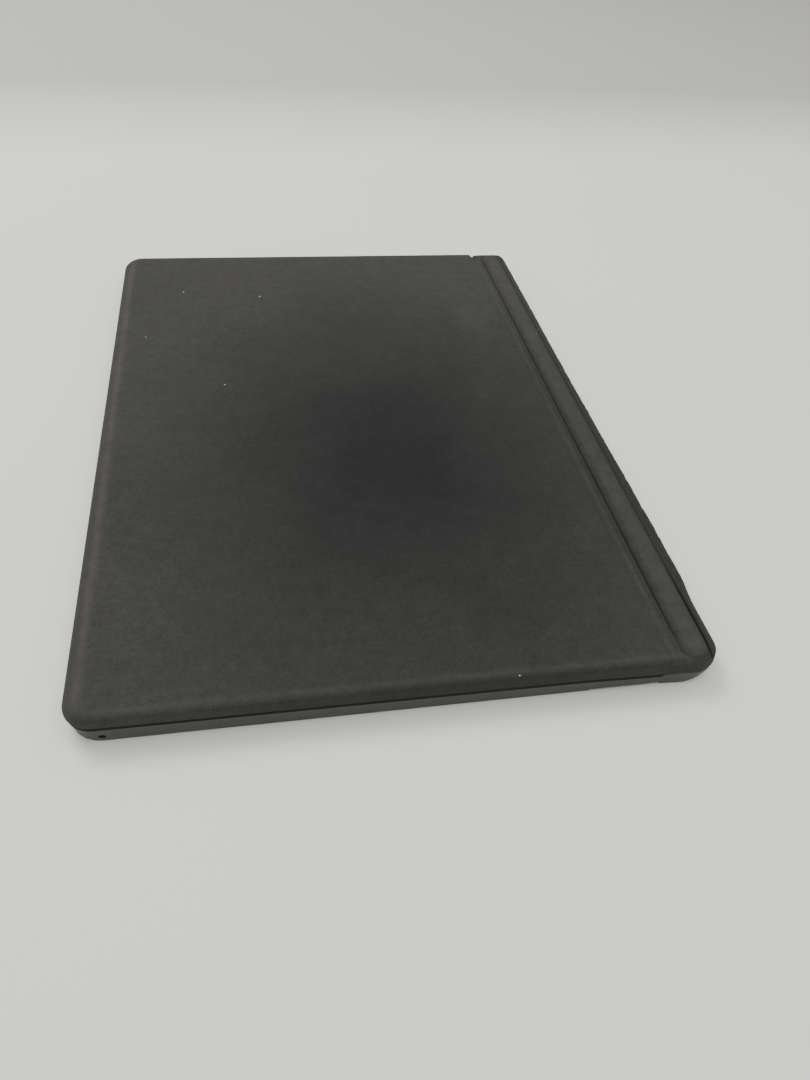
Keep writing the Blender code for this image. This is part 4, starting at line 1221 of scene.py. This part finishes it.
SOFTEST_EDGE = 0.35 * MM
EDGE_SHARE = 0.12
REMADE = ("outer_skin", "strip_skin", "edge_skin", "spine_block", "tray_lining")


def soften(node):
    """Rounds a CAD node's edges a little and evens its shading, leaving its own mesh alone."""
    low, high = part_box(node.name)
    weld = node.modifiers.new("weld", "WELD")
    weld.merge_threshold = 0.002 * MM
    bevel = node.modifiers.new("soft_edges", "BEVEL")
    bevel.width = min(SOFTEST_EDGE, EDGE_SHARE * min(high - low))
    bevel.segments = 3
    bevel.limit_method = "ANGLE"
    bevel.angle_limit = math.radians(36)
    shading = node.modifiers.new("even_shading", "WEIGHTED_NORMAL")
    shading.keep_sharp = True
    for polygon in node.data.polygons:
        polygon.use_smooth = True


def dress_cad_nodes():
    for name, node in frame["nodes"].items():
        node.data.materials.clear()
        node.data.materials.append(MATERIALS[SLOT_OF[name]])
        if name not in REMADE and SLOT_OF[name] != "keycap_plastic":
            soften(node)


# -------- floor, light and camera

FLOOR_SIZE = 3.2
FLOOR_CURVE = 0.5
FLOOR_CURVE_STEPS = 12
# The floor's colour greys toward the back as painted shade, from pale to the backdrop colour over the Y span
# below.
FLOOR_PALE = (0.88, 0.875, 0.835)
BACKDROP_PAINTED_SHADE = (0.52, 0.517, 0.485)
GREYING_Y = (0.33, 0.50)


def floor_material():
    s = Surface("pale_floor")
    cloud = s.noise(0.30, 3.0)
    grain = s.noise(1.5 * MM, 2.0)
    axes = s.node("ShaderNodeSeparateXYZ")
    s.plug(s.place, axes.inputs["Vector"])
    # Painted shade: the floor turns grey toward the back.
    behind = s.mapped(axes.outputs["Y"], *GREYING_Y)
    colour = s.blended(behind, FLOOR_PALE, BACKDROP_PAINTED_SHADE)
    colour = s.shaded(colour, cloud, 0.985, 1.015)
    s.bumped([(grain, 0.02 * MM)])
    return s.finish(colour, s.mapped(grain, 0.3, 0.7, 0.55, 0.65), Specular_IOR_Level=0.25)


def add_floor():
    """A pale sheet that runs level and then curves up behind."""
    centre = FLOOR_SIZE / 2 - FLOOR_CURVE
    profile = [(-FLOOR_SIZE / 2, 0.0), (centre, 0.0)]
    for step in range(1, FLOOR_CURVE_STEPS + 1):
        angle = math.pi / 2 * step / FLOOR_CURVE_STEPS
        profile.append((centre + FLOOR_CURVE * math.sin(angle), FLOOR_CURVE * (1 - math.cos(angle))))
    profile.append((FLOOR_SIZE / 2, FLOOR_SIZE / 2))
    points, faces = [], []
    for y, z in profile:
        points += [(-FLOOR_SIZE / 2, y, z), (FLOOR_SIZE / 2, y, z)]
    for row in range(len(profile) - 1):
        first = row * 2
        faces.append((first, first + 1, first + 3, first + 2))
    floor = add_object("floor", mesh_from("floor", points, faces))
    floor.data.materials.append(floor_material())


KEY_LIGHT = {"place": (-0.55, 0.75, 1.25), "size": 0.9, "power": 17.7, "colour": (1.0, 0.985, 0.955)}
FILL_LIGHT = {"place": (0.35, -0.35, 1.5), "size": 1.6, "power": 9.5, "colour": (0.97, 0.985, 1.0)}
STUDIO_COLOUR = (0.90, 0.91, 0.90, 1.0)
STUDIO_STRENGTH = 0.75


def add_area_light(name, place, size, power, colour):
    """A round soft light aimed at the case's middle."""
    data = bpy.data.lights.new(name, "AREA")
    data.shape = "DISK"
    data.size = size
    data.energy = power
    data.color = colour
    lamp = add_object(name, data)
    lamp.location = place
    lamp.rotation_euler = Vector(place).to_track_quat("Z", "Y").to_euler()


def add_light():
    add_area_light("key_light", **KEY_LIGHT)
    add_area_light("fill_light", **FILL_LIGHT)
    world = bpy.data.worlds.new("studio")
    bpy.context.scene.world = world
    world.use_nodes = True
    background = world.node_tree.nodes["Background"]
    background.inputs["Color"].default_value = STUDIO_COLOUR
    background.inputs["Strength"].default_value = STUDIO_STRENGTH


CAMERA_AT = (-0.04284, -0.29367, 0.21985)
CAMERA_RIGHT = Vector((0.98360, -0.16727, 0.06741))
CAMERA_UP = Vector((0.06783, 0.68946, 0.72114))
CAMERA_LENS = 27.95
CAMERA_SENSOR = 36.0
CAMERA_NEAR = 0.01


def add_camera():
    data = bpy.data.cameras.new("camera")
    data.lens = CAMERA_LENS
    data.sensor_width = CAMERA_SENSOR
    data.clip_start = CAMERA_NEAR
    camera = add_object("camera", data)
    back = CAMERA_RIGHT.cross(CAMERA_UP)
    turn = Matrix((CAMERA_RIGHT, CAMERA_UP, back)).transposed()
    camera.matrix_world = Matrix.Translation(CAMERA_AT) @ turn.to_4x4()
    bpy.context.scene.camera = camera


# -------- the whole scene


add_camera()
add_floor()
add_light()
dress_cad_nodes()
add_spine()
add_lining()
add_keys()
add_inner_face()
add_cover_slab()
add_cover_spine()
add_wrap("spine_wrap_near", -1)
add_wrap("spine_wrap_far", 1)
